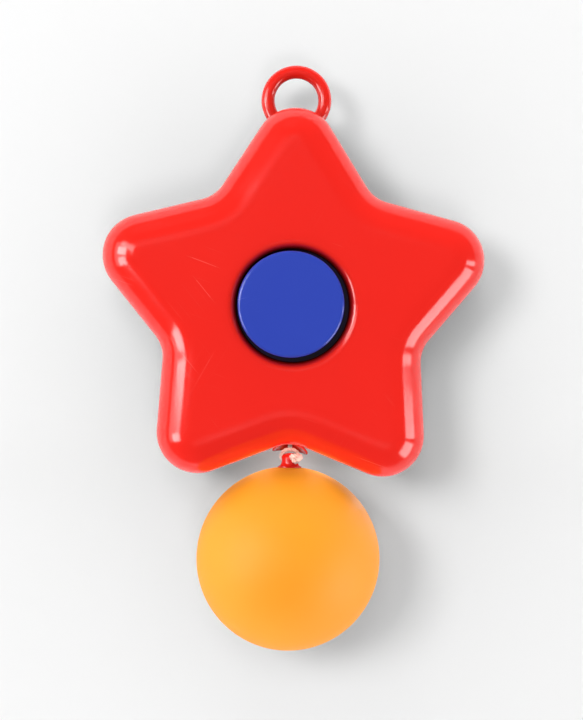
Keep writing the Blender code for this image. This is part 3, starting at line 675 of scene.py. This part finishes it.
for length, width in ((cross_length, cross_width), (cross_width, cross_length)):
    cross = bmesh.new()
    bar = Matrix.Translation((0.0, screw_crown, 0.0)) @ Matrix.Diagonal((length, 2 * cross_depth, width, 1.0))
    bmesh.ops.create_cube(cross, size=1.0, matrix=bar)
    cross_bars.append(("DIFFERENCE", solid("cross_bar", cross)))
carved(one_screw, cross_bars)

screw_wire, screw_in, screw_out = node_tree(
    "screws_on_arms", {"Screw": "Object", "Circle": "Float", "Count": "Int", "Metal": "Material"}
)
arm_points = screw_wire.node(
    "GeometryNodeMeshCircle", {}, {"Vertices": screw_in["Count"], "Radius": screw_in["Circle"]}
)
arm_points = screw_wire.node(
    "GeometryNodeTransform",
    {},
    {"Geometry": arm_points, "Rotation": (math.pi / 2, -math.pi / 2, 0.0), "Translation": star_centre},
)
screw_shape = screw_wire.node("GeometryNodeObjectInfo", {}, {"Object": screw_in["Screw"]}, "Geometry")
spin = screw_wire.node("GeometryNodeInputIndex", {}, {}) * 0.7
spin = screw_wire.node("ShaderNodeCombineXYZ", {}, {"Y": spin})
screws = screw_wire.node(
    "GeometryNodeInstanceOnPoints", {}, {"Points": arm_points, "Instance": screw_shape, "Rotation": spin}
)
screws = screw_wire.node("GeometryNodeRealizeInstances", {}, {"Geometry": screws})
screws = screw_wire.node("GeometryNodeSetMaterial", {}, {"Geometry": screws, "Material": screw_in["Metal"]})
screw_wire.tree.links.new(screws.socket, screw_out.inputs[0])
screw_host = bpy.data.objects.new("screw_host", bpy.data.meshes.new("screw_host"))
screw_sizes = {"Screw": one_screw, "Circle": screw_circle, "Count": arms, "Metal": steel}
casing_screws = bpy.data.objects.new("casing_screws", grown(screw_host, screw_wire, screw_sizes))
bpy.data.objects.remove(one_screw)
scene.collection.objects.link(casing_screws)
screw_nodes = ("screw_top", "screw_left", "screw_lower_left", "screw_lower_right", "screw_right")
dress(casing_screws, steel, "casing", "steel", *screw_nodes)


# Hanging ring. A red moulded ring of round section, caught between the halves at the top arm. A
# fine mould line runs round the middle of its section, inside and out.
mould_line = 0.05 * MM
ring_section = []
for angle in np.linspace(0.0, 2 * math.pi, 40, endpoint=False):
    wire = ring_wire - mould_line + mould_line * math.exp(-((math.sin(angle) / 0.12) ** 2))
    ring_section.append((ring_radius + wire * math.cos(angle), wire * math.sin(angle)))
hanging_ring = turned("moulded_ring", ring_section, 112, ring_centre, closed=True)
dress(hanging_ring, red_plastic, "casing", "red_casing", "hanging_ring")


# Cord guide. A red eyelet is clamped in the mouth: a collar inside, a flared bore for the cord, and
# a lip outside that follows the arch of the notch. It sits a little askew, and its red is dull.
guide_top = -26.7 * MM
guide_collar_bottom = -27.5 * MM
guide_throat = -28.2 * MM
guide_lip_top = -30.1 * MM
guide_lip_bottom = -30.65 * MM
guide_collar_radius = 3.65 * MM
guide_neck_radius = 2.9 * MM
guide_lip_radius = 3.9 * MM
guide_throat_radius = 1.15 * MM
guide_mouth_radius = 3.45 * MM
guide_skew = math.radians(5.0)
guide_tilt = math.radians(-14.0)
guide_droop = 0.1 * MM
guide_aside = 0.3 * MM
guide_entry_flare = 0.8 * MM
guide_entry_depth = 1.1 * MM
guide_profile = [
    (guide_throat_radius + guide_entry_flare, guide_top),
    (guide_throat_radius, guide_top - guide_entry_depth),
]
guide_flare = (guide_throat_radius - guide_mouth_radius, guide_lip_bottom - guide_throat)
guide_profile += arc((guide_mouth_radius, guide_throat), guide_flare, 0, 90, 13)
lip_half = (guide_lip_top - guide_lip_bottom) / 2
lip_middle = (guide_lip_radius - lip_half, guide_lip_bottom + lip_half)
guide_profile += arc(lip_middle, (lip_half, lip_half), -90, 90, 9)
guide_profile += [(guide_neck_radius, guide_lip_top), (guide_neck_radius, guide_collar_bottom)]
guide_profile += [(guide_collar_radius, guide_collar_bottom), (guide_collar_radius, guide_top)]
cord_guide = turned("mouth_eyelet", guide_profile, 72, Vector((0.0, 0.0, 0.0)), "Z", closed=True)
arch = notch_radius - fit
for vert in cord_guide.data.vertices:
    share = min(1.0, max(0.0, (guide_throat - vert.co.z) / (guide_throat - guide_lip_top)))
    vert.co.z += share * (math.sqrt(arch**2 - min(abs(vert.co.x), guide_lip_radius) ** 2) - arch)
skew = Matrix.Rotation(guide_skew, 4, "Y") @ Matrix.Rotation(guide_tilt, 4, "X")
skew = Matrix.Translation((guide_aside, 0.0, guide_throat - guide_droop)) @ skew
skew = skew @ Matrix.Translation((0.0, 0.0, -guide_throat))
cord_guide.data.transform(Matrix.Translation(star_centre) @ skew)
guide_plastic = red_plastic.copy()
guide_plastic.name = "red_guide_plastic"
guide_shader = guide_plastic.node_tree.nodes["Principled BSDF"]
guide_shader.inputs["Specular IOR Level"].default_value = 0.1
dress(cord_guide, guide_plastic, "casing", "red_casing", "cord_guide")


# Push button. A blue cup with a flat face and a small round at its edge stands proud of the star,
# with play all round, and is held by a flange behind the front wall.
blue_plastic = moulded_plastic(
    "blue_moulded_plastic",
    deep=(0.023, 0.051, 0.42),
    fair=(0.028, 0.060, 0.44),
    worn=(0.16, 0.22, 0.66),
    roughness=0.17,
    scratch_turns=(0.15, 1.3, -0.9),
    # Radii and depths where painted shade darkens the button's side down in its gap.
    lip_shade_radii=(10.0 * MM, 10.5 * MM),
    shade_depths=(-13.0 * MM, -11.5 * MM),
)
button_low, button_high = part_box("button")
button_centre = Vector(((button_low.x + button_high.x) / 2, 0.0, (button_low.z + button_high.z) / 2))
button_radius = 11.3 * MM
button_edge = 0.65 * MM
button_wall = 1.4 * MM
button_flange = (button_high.x - button_low.x) / 2
button_face = button_low.y
button_back = button_high.y
flange_thickness = 0.5 * MM
flange_front = button_back - flange_thickness
socket_radius = 2.7 * MM
socket_wall = 1.3 * MM
button_profile = [(0.0, button_face), (button_radius - button_edge - plate_margin, button_face)]
edge_middle = (button_radius - button_edge, button_face + button_edge)
button_profile += arc(edge_middle, (button_edge, -button_edge), 90, 0, 10)
button_inside = button_radius - button_wall
button_ceiling = button_face + button_wall
button_profile += [
    (button_radius, flange_front),
    (button_flange, flange_front),
    (button_flange, button_back),
    (button_inside, button_back),
    (button_inside, button_ceiling),
    (socket_radius + socket_wall, button_ceiling),
    (socket_radius + socket_wall, button_back),
    (socket_radius, button_back),
    (socket_radius, button_ceiling),
    (0.0, button_ceiling),
]
push_button = turned("push_button", button_profile, 144, button_centre)
dress(push_button, blue_plastic, "button_set", "blue_button", "button")


# Brake under the button. A steel rod, a disc of natural plastic keyed in the hub and a black rubber
# ring on it keep their solids; a coil spring behind the disc is modelled as a steel wire.
natural_tones = (0.74, 0.72, 0.65, 1.0), (0.82, 0.80, 0.74, 1.0)
natural, natural_shader, natural_wire, natural_place = speckled(
    "natural_plastic", natural_tones, (60.0, 2.0), (500.0, 2.0), 0.12, 0.34
)
natural_grain = noise(natural_wire, natural_place, 1800.0, 3.0)
feed(natural_wire, natural_shader, normal=bumped(natural_wire, natural_grain, 0.15, 0.0001))

rubber_tones = (0.018, 0.018, 0.018, 1.0), (0.05, 0.05, 0.05, 1.0)
rubber, *_ = speckled("brake_rubber", rubber_tones, (800.0, 3.0), (1200.0, 2.0), 0.15, 0.75)

for node, material in (
    ("push_rod", steel),
    ("brake_disc", natural),
    ("brake_pad", rubber),
    ("spool", natural),
    ("spring_cover", natural),
    ("recoil_spring", steel),
):
    solid_node = frame["nodes"][node]
    solid_node.data.materials.clear()
    solid_node.data.materials.append(material)


def wire_along(name, points, radius, sides=12):
    """A round wire along points, as a closed piece."""
    host = path_curve(name, points)
    host.data.bevel_depth = radius
    host.data.bevel_resolution = sides // 4
    host.data.use_fill_caps = True
    scene.collection.objects.link(host)
    shape = bmesh.new()
    shape.from_mesh(settled(host))
    bpy.data.objects.remove(host)
    bmesh.ops.remove_doubles(shape, verts=shape.verts, dist=1e-6)
    return solid(name, shape)


spring_low, spring_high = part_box("return_spring")
spring_wire = 0.4 * MM
spring_coils = 6
coil_radius = (spring_high.x - spring_low.x) / 2 - spring_wire
dead_turn = 0.75
coil_points = []
for turn in np.linspace(0.0, spring_coils, spring_coils * 36 + 1):
    free = min(1.0, max(0.0, (turn - dead_turn) / (spring_coils - 2 * dead_turn)))
    y = spring_low.y + spring_wire + (spring_high.y - spring_low.y - 2 * spring_wire) * free
    coil_points.append(about_axis(coil_radius, y, 2 * math.pi * turn))
return_coil = wire_along("return_coil", coil_points, spring_wire)
dress(return_coil, steel, "casing", "steel", "return_spring")
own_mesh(return_coil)


# Cord. About 1.25 m of pale three-strand cotton twist is wound on the reel, runs down inside the
# casing to the eyelet, and ends in a loop knotted through the ball's stem. Geometry Nodes lay the
# three strands round each stretch of its path.
cotton, cotton_shader, cotton_wire = finish("cotton_twist")
cotton_place = cotton_wire.node("ShaderNodeTexCoord", {}, {}, "Object")
fibre = noise(cotton_wire, cotton_place, 5200.0, 3.0)
stain = noise(cotton_wire, cotton_place, 700.0, 2.0)
stained = steps_between(cotton_wire, stain, 0.35, 0.7)
cotton_tone = mixed(cotton_wire, stained, (0.95, 0.75, 0.67, 1.0), (0.94, 0.54, 0.46, 1.0))
cotton_tone = mixed(cotton_wire, fibre * 0.35, cotton_tone, (0.98, 0.92, 0.88, 1.0))
cotton_gloss = fibre * 0.1 + 0.85
cotton_bump = bumped(cotton_wire, fibre, 0.6, 0.00015)
feed(cotton_wire, cotton_shader, base_color=cotton_tone, roughness=cotton_gloss, normal=cotton_bump)

cord_radius = 0.5 * MM
lay_length = 2.6 * MM
strand_count = 3
strand_share = 0.52
twist_wire, twist_in, twist_out = node_tree(
    "three_strand_twist",
    {
        "Strands": "Int",
        "Strand radius": "Float",
        "Strand offset": "Float",
        "Lay": "Float",
        "Step": "Float",
        "Sides": "Int",
        "Cotton": "Material",
    },
)
path = twist_wire.node(
    "GeometryNodeResampleCurve",
    {"mode": "LENGTH"},
    {"Curve": twist_in["Geometry"], "Length": twist_in["Step"]},
)
doubled = twist_wire.tree.nodes.new("GeometryNodeDuplicateElements")
doubled.domain = "SPLINE"
twist_wire.tree.links.new(path.socket, doubled.inputs["Geometry"])
twist_wire.tree.links.new(twist_in["Strands"].socket, doubled.inputs["Amount"])
strand_number = Wire(twist_wire.tree, doubled.outputs["Duplicate Index"])
run = twist_wire.node("GeometryNodeSplineParameter", {}, {}, "Length")
turn = run / twist_in["Lay"] * (2 * math.pi) + strand_number * (2 * math.pi / strand_count)
normal = twist_wire.node("GeometryNodeInputNormal", {}, {})
tangent = twist_wire.node("GeometryNodeInputTangent", {}, {})
side = twist_wire.vectors("CROSS_PRODUCT", tangent, normal)
over = twist_wire.maths("COSINE", turn) * twist_in["Strand offset"]
aside = twist_wire.maths("SINE", turn) * twist_in["Strand offset"]
part_over = twist_wire.node("ShaderNodeVectorMath", {"operation": "SCALE"}, {0: normal, "Scale": over})
part_aside = twist_wire.node("ShaderNodeVectorMath", {"operation": "SCALE"}, {0: side, "Scale": aside})
shift = twist_wire.vectors("ADD", part_over, part_aside)
paths = Wire(twist_wire.tree, doubled.outputs["Geometry"])
strands = twist_wire.node("GeometryNodeSetPosition", {}, {"Geometry": paths, "Offset": shift})
strand_section = twist_wire.node(
    "GeometryNodeCurvePrimitiveCircle",
    {},
    {"Resolution": twist_in["Sides"], "Radius": twist_in["Strand radius"]},
)
strands = twist_wire.node(
    "GeometryNodeCurveToMesh", {}, {"Curve": strands, "Profile Curve": strand_section, "Fill Caps": True}
)
strands = twist_wire.node("GeometryNodeRealizeInstances", {}, {"Geometry": strands})
strands = twist_wire.node(
    "GeometryNodeSetMaterial", {}, {"Geometry": strands, "Material": twist_in["Cotton"]}
)
twist_wire.tree.links.new(strands.socket, twist_out.inputs[0])


def twisted(name, points, step, sides, thickness=cord_radius):
    """Three strands laid round a path, as one plain mesh."""
    strand = strand_share * thickness
    sizes = {
        "Strands": strand_count,
        "Strand radius": strand,
        "Strand offset": thickness - strand,
        "Lay": lay_length,
        "Step": step,
        "Sides": sides,
        "Cotton": cotton,
    }
    made = bpy.data.objects.new(name, grown(path_curve(name, points), twist_wire, sizes))
    scene.collection.objects.link(made)
    return made


def coil(radius, first, last, turns, start):
    """Points of a winding round the reel's axis."""
    points = []
    for share in np.linspace(0.0, 1.0, turns * 48 + 1):
        angle = start + 2 * math.pi * turns * share
        points.append(about_axis(radius, first + (last - first) * share, angle))
    return points


core_low, core_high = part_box("cord_core")
core_radius = core_high.x - cord_radius
core_turns = 8
wound_step = 0.5 * MM
wound_sides = 6
inner_turns = coil(core_radius, core_low.y + cord_radius, core_high.y - cord_radius, core_turns, 0.0)
core = twisted("cord_inner_turns", inner_turns, wound_step, wound_sides)
dress(core, cotton, "reel", "cord", "cord_core")

winding_low, winding_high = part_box("cord_winding")
winding_radius = 16.1 * MM
winding_turns = 5
lead_drop = 27.4 * MM
lead_end = star_centre - Vector((0.0, 0.0, lead_drop))
leave_angle = -math.pi / 2 + math.acos(winding_radius / (star_centre.z - lead_end.z))
leave_way = Vector((math.sin(leave_angle), 0.0, -math.cos(leave_angle)))
winding_front = winding_low.y + cord_radius
outer_turns = coil(winding_radius, winding_front, winding_high.y - cord_radius, winding_turns, leave_angle)
outer_turns.insert(0, outer_turns[0] + leave_way * 2 * cord_radius)
winding = twisted("cord_outer_turns", outer_turns, wound_step, wound_sides)
dress(winding, cotton, "reel", "cord", "cord_winding")


def smooth_route(corners, count):
    """Points along a Catmull-Rom curve through the corners."""
    ends = [2 * corners[0] - corners[1]] + corners + [2 * corners[-1] - corners[-2]]
    points = []
    for a, b, c, d in zip(ends, ends[1:], ends[2:], ends[3:]):
        for t in np.linspace(0.0, 1.0, count, endpoint=False):
            square = 2 * a - 5 * b + 4 * c - d
            cube = 3 * b - a - 3 * c + d
            points.append((2 * b + (c - a) * t + square * t**2 + cube * t**3) / 2)
    return points + [corners[-1]]


lead_start = outer_turns[1] + leave_way * (2 * cord_radius + running_gap)
lead_reach = (lead_end - lead_start).length
lead_corners = [
    lead_start,
    lead_start + leave_way * lead_reach * 0.35,
    lead_end + Vector((2.6, -0.6, 4.6)) * MM,
    lead_end + Vector((0.5, -0.1, 1.9)) * MM,
    lead_end,
]
lead = twisted("cord_inside", smooth_route(lead_corners, 12), 0.2 * MM, 8)
dress(lead, cotton, "casing", "cord", "cord_lead")

eye = Vector(joints["ball_tilt"]["pos_m"])
loop_half = 1.88 * MM
loop_bend = 0.7 * MM
loop_crown = 2.25 * MM
loop_points = [(x, 0.0) for x in np.linspace(0.0, loop_half - loop_bend, 6)]
loop_points += arc((loop_half - loop_bend, loop_bend), (loop_bend, loop_bend), -90, 0, 9)[1:]
loop_points += arc((0.0, loop_bend), (loop_half, loop_crown - loop_bend), 0, 90, 14)[1:]
loop_points += [(-x, z) for x, z in loop_points[::-1][1:]]
loop_route = [eye + Vector((x, 0.0, z)) for x, z in loop_points]
cord_loop = twisted("cord_eye_loop", loop_route, 0.1 * MM, 10)
dress(cord_loop, cotton, "cord_tie", "cord", "cord_loop")

drop_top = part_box("cord_drop")[1].z
drop_bottom = eye.z + loop_crown
drop_points = [Vector((0.0, 0.0, z)) for z in np.linspace(drop_top, drop_bottom, 24)]
drop = twisted("cord_drop_twist", drop_points, 0.1 * MM, 10)
drop.data.shade_smooth()
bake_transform(drop)
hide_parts("cord_drop")

knot_low, knot_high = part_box("cord_knot")
knot_middle = (knot_low + knot_high) / 2 + Vector((0.2, -0.15, -0.1)) * MM
knot_half = (knot_high - knot_low) / 2 + Vector((0.3, 0.2, 0.3)) * MM
knot_cord = 0.52 * MM
knot_points = []
for turn in np.linspace(0.0, 2 * math.pi, 140):
    across_knot = (math.sin(turn) + 2 * math.sin(2 * turn)) / 3
    up_knot = (math.cos(turn) - 2 * math.cos(2 * turn)) / 3
    out_knot = -math.sin(3 * turn)
    shares = Vector((across_knot, out_knot, up_knot))
    room = [half - knot_cord for half in knot_half]
    knot_points.append(knot_middle + Vector([share * span for share, span in zip(shares, room)]))
knot = twisted("cord_overhand_knot", knot_points, 0.12 * MM, 10, knot_cord)
dress(knot, cotton, "cord_tie", "cord", "cord_knot")


# Stem of the ball. A red moulded plug with a post and an eye for the cord is snapped through the
# ball's top: its flared base sits on the ball, and a barb holds it from inside.
stem_post = 1.85 * MM
stem_base = 2.6 * MM
stem_shank = 1.6 * MM
stem_barb = 2.6 * MM
eye_hole = 0.75 * MM
ball_top = -1.5 * MM
base_rim = ball_top - 0.13 * MM
dome_base = 0.55 * MM
dome_height = 1.0 * MM
flare_top = -0.5 * MM
base_side = 0.2 * MM
stem_profile = [(0.0, dome_base + dome_height)]
stem_profile += arc((0.0, dome_base), (stem_post, dome_height), 90, 0, 9)[1:]
stem_flare = (stem_post - stem_base, base_rim + base_side - flare_top)
stem_profile += arc((stem_base, flare_top), stem_flare, 0, 90, 7)
barb_top = ball_top - 0.85 * MM
barb_edge = ball_top - 0.9 * MM
barb_end = ball_top - 1.6 * MM
stem_profile += [
    (stem_base, base_rim),
    (stem_shank, ball_top + 0.03 * MM),
    (stem_shank, barb_top),
    (stem_barb, barb_edge),
    (stem_shank, barb_end),
    (0.0, barb_end),
]
stem = turned("ball_plug", stem_profile, 56, eye, "Z")
eye_tool = bmesh.new()
bmesh.ops.create_cone(
    eye_tool,
    cap_ends=True,
    segments=32,
    radius1=eye_hole,
    radius2=eye_hole,
    depth=4 * stem_post,
    matrix=Matrix.Translation(eye) @ Matrix.Rotation(math.pi / 2, 4, "Y"),
)
carved(stem, [("DIFFERENCE", solid("eye_tool", eye_tool))])
dress(stem, red_plastic, "ball_set", "red_casing", "ball_stem")


# Ball. A hollow 40 mm ball of matt orange plastic, thin walled, with a hole for the stem. Its skin
# has a fine grain and a slight drift of tone.
orange, orange_shader, orange_wire = finish("orange_ball")
orange_place = orange_wire.node("ShaderNodeTexCoord", {}, {}, "Object")
drift = noise(orange_wire, orange_place, 55.0, 3.0)
grain = noise(orange_wire, orange_place, 3200.0, 2.0)
orange_tone = mixed(orange_wire, drift, (0.97, 0.30, 0.012, 1.0), (1.0, 0.355, 0.019, 1.0))
orange_gloss = grain * 0.12 + 0.5
orange_bump = bumped(orange_wire, grain, 0.12, 0.0001)
feed(orange_wire, orange_shader, base_color=orange_tone, roughness=orange_gloss, normal=orange_bump)
orange_shader.inputs["Specular IOR Level"].default_value = 0.2
# A faint orange glow is painted on the ball, though it is no lamp: it stands in for light carried through its
# thin wall.
orange_shader.inputs["Emission Color"].default_value = (1.0, 0.38, 0.03, 1.0)
orange_shader.inputs["Emission Strength"].default_value = 0.04

ball_radius = ball_diameter / 2
ball_wall = 0.4 * MM
ball_hole = 1.9 * MM
ball_centre = Vector((0.0, 0.0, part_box("ball")[0].z + ball_radius))
ball_profile = []
for radius, way in ((ball_radius - ball_wall, -1), (ball_radius, 1)):
    hole_edge = math.degrees(math.acos(ball_hole / radius))
    skin = arc((0.0, 0.0), (radius, radius), hole_edge, -90, 73)[:-1] + [(0.0, -radius)]
    ball_profile += skin[::way]
ball = turned("matt_ball", ball_profile, 144, ball_centre, "Z")
dress(ball, orange, "ball_set", "orange_ball", "ball")


# Studio. A white sheet behind the trainer takes its shadow, bends away below for the ball and can't
# be seen from the back. Softboxes light it, windows only shine along the round edges, and lamps in
# the gap over the ball stand for light thrown from surface to surface, which is off.
sheet_gap = 0.3 * MM
sheet_half = 2.0
bend_top = -0.072
bend_bottom = -0.103
sheet_heights = [sheet_half, *np.linspace(bend_top, bend_bottom, 25), -sheet_half]
sheet_shape = bmesh.new()
sheet_rows = []
for z in sheet_heights:
    share = min(1.0, max(0.0, (bend_top - z) / (bend_top - bend_bottom)))
    share = share**2 * (3 - 2 * share)
    y = sheet_gap + half_depth + (ball_diameter / 2 - half_depth) * share
    sheet_rows.append([sheet_shape.verts.new((x, y, z)) for x in (-sheet_half, sheet_half)])
for above, below in zip(sheet_rows, sheet_rows[1:]):
    sheet_shape.faces.new((above[0], below[0], below[1], above[1]))
sheet_mesh = bpy.data.meshes.new("white_sheet")
sheet_shape.to_mesh(sheet_mesh)
sheet_shape.free()
sheet_mesh.shade_smooth()
sheet_mesh.normals_split_custom_set_from_vertices([(0.0, -1.0, 0.0)] * len(sheet_mesh.vertices))
white_sheet = bpy.data.objects.new("white_sheet", sheet_mesh)
scene.collection.objects.link(white_sheet)
paper, paper_shader, paper_wire = finish("white_paper")
paper_shader.inputs["Base Color"].default_value = (0.86, 0.86, 0.86, 1.0)
paper_shader.inputs["Emission Color"].default_value = (1.0, 1.0, 1.0, 1.0)
paper_shader.inputs["Emission Strength"].default_value = 0.05
paper_shader.inputs["Roughness"].default_value = 0.9
paper_shader.inputs["Specular IOR Level"].default_value = 0.0


def ray_fact(wire, fact):
    """What Light Path says of a ray."""
    return wire.node("ShaderNodeLightPath", {}, {}, fact)


contact_shine = 0.012
near_touch = paper_wire.maths("LESS_THAN", ray_fact(paper_wire, "Ray Length"), contact_shine)
touching_shine = near_touch * ray_fact(paper_wire, "Is Glossy Ray")
through = paper_wire.node("ShaderNodeNewGeometry", {}, {}, "Backfacing")
for let_through in (
    ray_fact(paper_wire, "Is Shadow Ray"),
    ray_fact(paper_wire, "Is Diffuse Ray"),
    touching_shine,
):
    through = paper_wire.maths("MAXIMUM", through, let_through)
clear = paper_wire.node("ShaderNodeBsdfTransparent", {}, {})
paper_face = Wire(paper_wire.tree, paper_shader.outputs[0])
paper_mix = paper_wire.node("ShaderNodeMixShader", {}, {0: through, 1: paper_face, 2: clear})
paper_out = paper_wire.tree.nodes["Material Output"]
paper_wire.tree.links.new(paper_mix.socket, paper_out.inputs["Surface"])
sheet_mesh.materials.append(paper)


white = (1.0, 1.0, 1.0)


def lamp(name, off_axis, round_axis, size, radiance, middle, distance=0.0, tint=white, shines=False):
    """A flat lamp that faces a middle from a distance, by angles off and round the line of sight."""
    off_axis, round_axis = math.radians(off_axis), math.radians(round_axis)
    outward = Vector((math.cos(round_axis), 0.0, math.sin(round_axis)))
    way = math.sin(off_axis) * outward - math.cos(off_axis) * Vector((0.0, 1.0, 0.0))
    light = bpy.data.lights.new(name, "AREA")
    light.shape = "RECTANGLE"
    light.size, light.size_y = size
    light.energy = radiance * math.pi * size[0] * size[1]
    light.color = tint
    made = bpy.data.objects.new(name, light)
    made.location = Vector(middle) + way * distance
    aside = way.cross(outward).normalized()
    made.rotation_euler = Matrix((aside.cross(way), aside, way)).transposed().to_euler()
    made.visible_camera = False
    made.visible_glossy = shines
    made.visible_diffuse = not shines
    scene.collection.objects.link(made)


trainer_middle = (0.0, 0.0, -0.06)
softbox_distance = 1.5
for name, off_axis, round_axis, width, radiance in (
    ("key", 28.5, 158.0, 0.48, 12.0),
    ("top", 66.0, 100.0, 0.7, 2.1),
    ("upper_front", 18.0, 100.0, 0.4, 5.0),
    ("lower_front", 18.0, -80.0, 0.4, 6.0),
):
    lamp(name + "_softbox", off_axis, round_axis, (width, width), radiance, trainer_middle, softbox_distance)
for name, off_axis, round_axis, distance, size, radiance in (
    ("left", 53.0, 169.5, 0.7, (0.36, 0.187), 11.0),
    ("upper_left", 40.0, 152.0, 0.7, (0.56, 0.13), 5.0),
    ("lower_left", 54.0, 195.0, 0.7, (0.32, 0.2), 9.0),
    ("left_haze", 62.0, 178.0, 0.7, (0.42, 0.62), 2.2),
    ("right", 73.0, -30.0, 0.6, (0.35, 0.32), 7.0),
    ("lower_right", 73.0, -2.7, 0.6, (0.35, 0.088), 7.0),
    ("back", 140.0, 25.0, 0.7, (0.5, 0.2), 6.0),
):
    lamp(name + "_window", off_axis, round_axis, size, radiance, trainer_middle, distance, shines=True)

scene.cycles.diffuse_bounces = 0
off_red = (1.0, 0.42, 0.34)
off_orange = (1.0, 0.45, 0.3)
off_ball_edge = (1.0, 0.6, 0.3)
lamp("gap_bounce", 80.0, 90.0, (0.016, 0.014), 1.2, (0.0, 0.0035, -0.0800), tint=off_red)
lamp("gap_bounce_up", 100.0, -90.0, (0.008, 0.026), 1.7, (0.0, -0.007, -0.0843), tint=off_orange)
lamp("gap_bounce_back", 0.0, 0.0, (0.04, 0.004), 1.8, (0.0, 0.004, -0.083))
for side, hand, radiance in ((-1, "left", 2.2), (1, "right", 2.6)):
    over_ball = (side * 0.011, -0.001, -0.0836)
    lamp("gap_bounce_" + hand, 96.0, 90.0 - 17.0 * side, (0.018, 0.012), radiance, over_ball)
    under_arm = (side * 0.017, -0.008, -0.0895)
    lamp("gap_edge_" + hand, 101.0, -90.0 - 21.0 * side, (0.008, 0.010), 1.6, under_arm, tint=off_ball_edge)

world = bpy.data.worlds.new("studio")
scene.world = world
world.use_nodes = True
world_wire = Wire(world.node_tree)
world_shader = world.node_tree.nodes["Background"]
is_camera = ray_fact(world_wire, "Is Camera Ray")
world_way = world_wire.node("ShaderNodeTexCoord", {}, {}, "Generated")
to_front = world_wire.node("ShaderNodeSeparateXYZ", {}, {"Vector": world_way}, "Y") * -1.0
front_light = 0.1
side_light = 2.4
back_light = 0.8
behind = world_wire.maths("LESS_THAN", to_front, 0.0)
middle_light = front_light + behind * (back_light - front_light)
low_angle = 1.0 - world_wire.maths("ABSOLUTE", to_front)
world_light = middle_light + low_angle * low_angle * (side_light - middle_light)
is_glossy = ray_fact(world_wire, "Is Glossy Ray")
shine_light = world_wire.maths("ABSOLUTE", to_front) * 0.16 + 0.02
world_light = world_light + is_glossy * (shine_light - world_light)
world_level = is_camera + (1.0 - is_camera) * world_light
world.node_tree.links.new(world_level.socket, world_shader.inputs["Strength"])
world_shader.inputs["Color"].default_value = (1.0, 1.0, 1.0, 1.0)
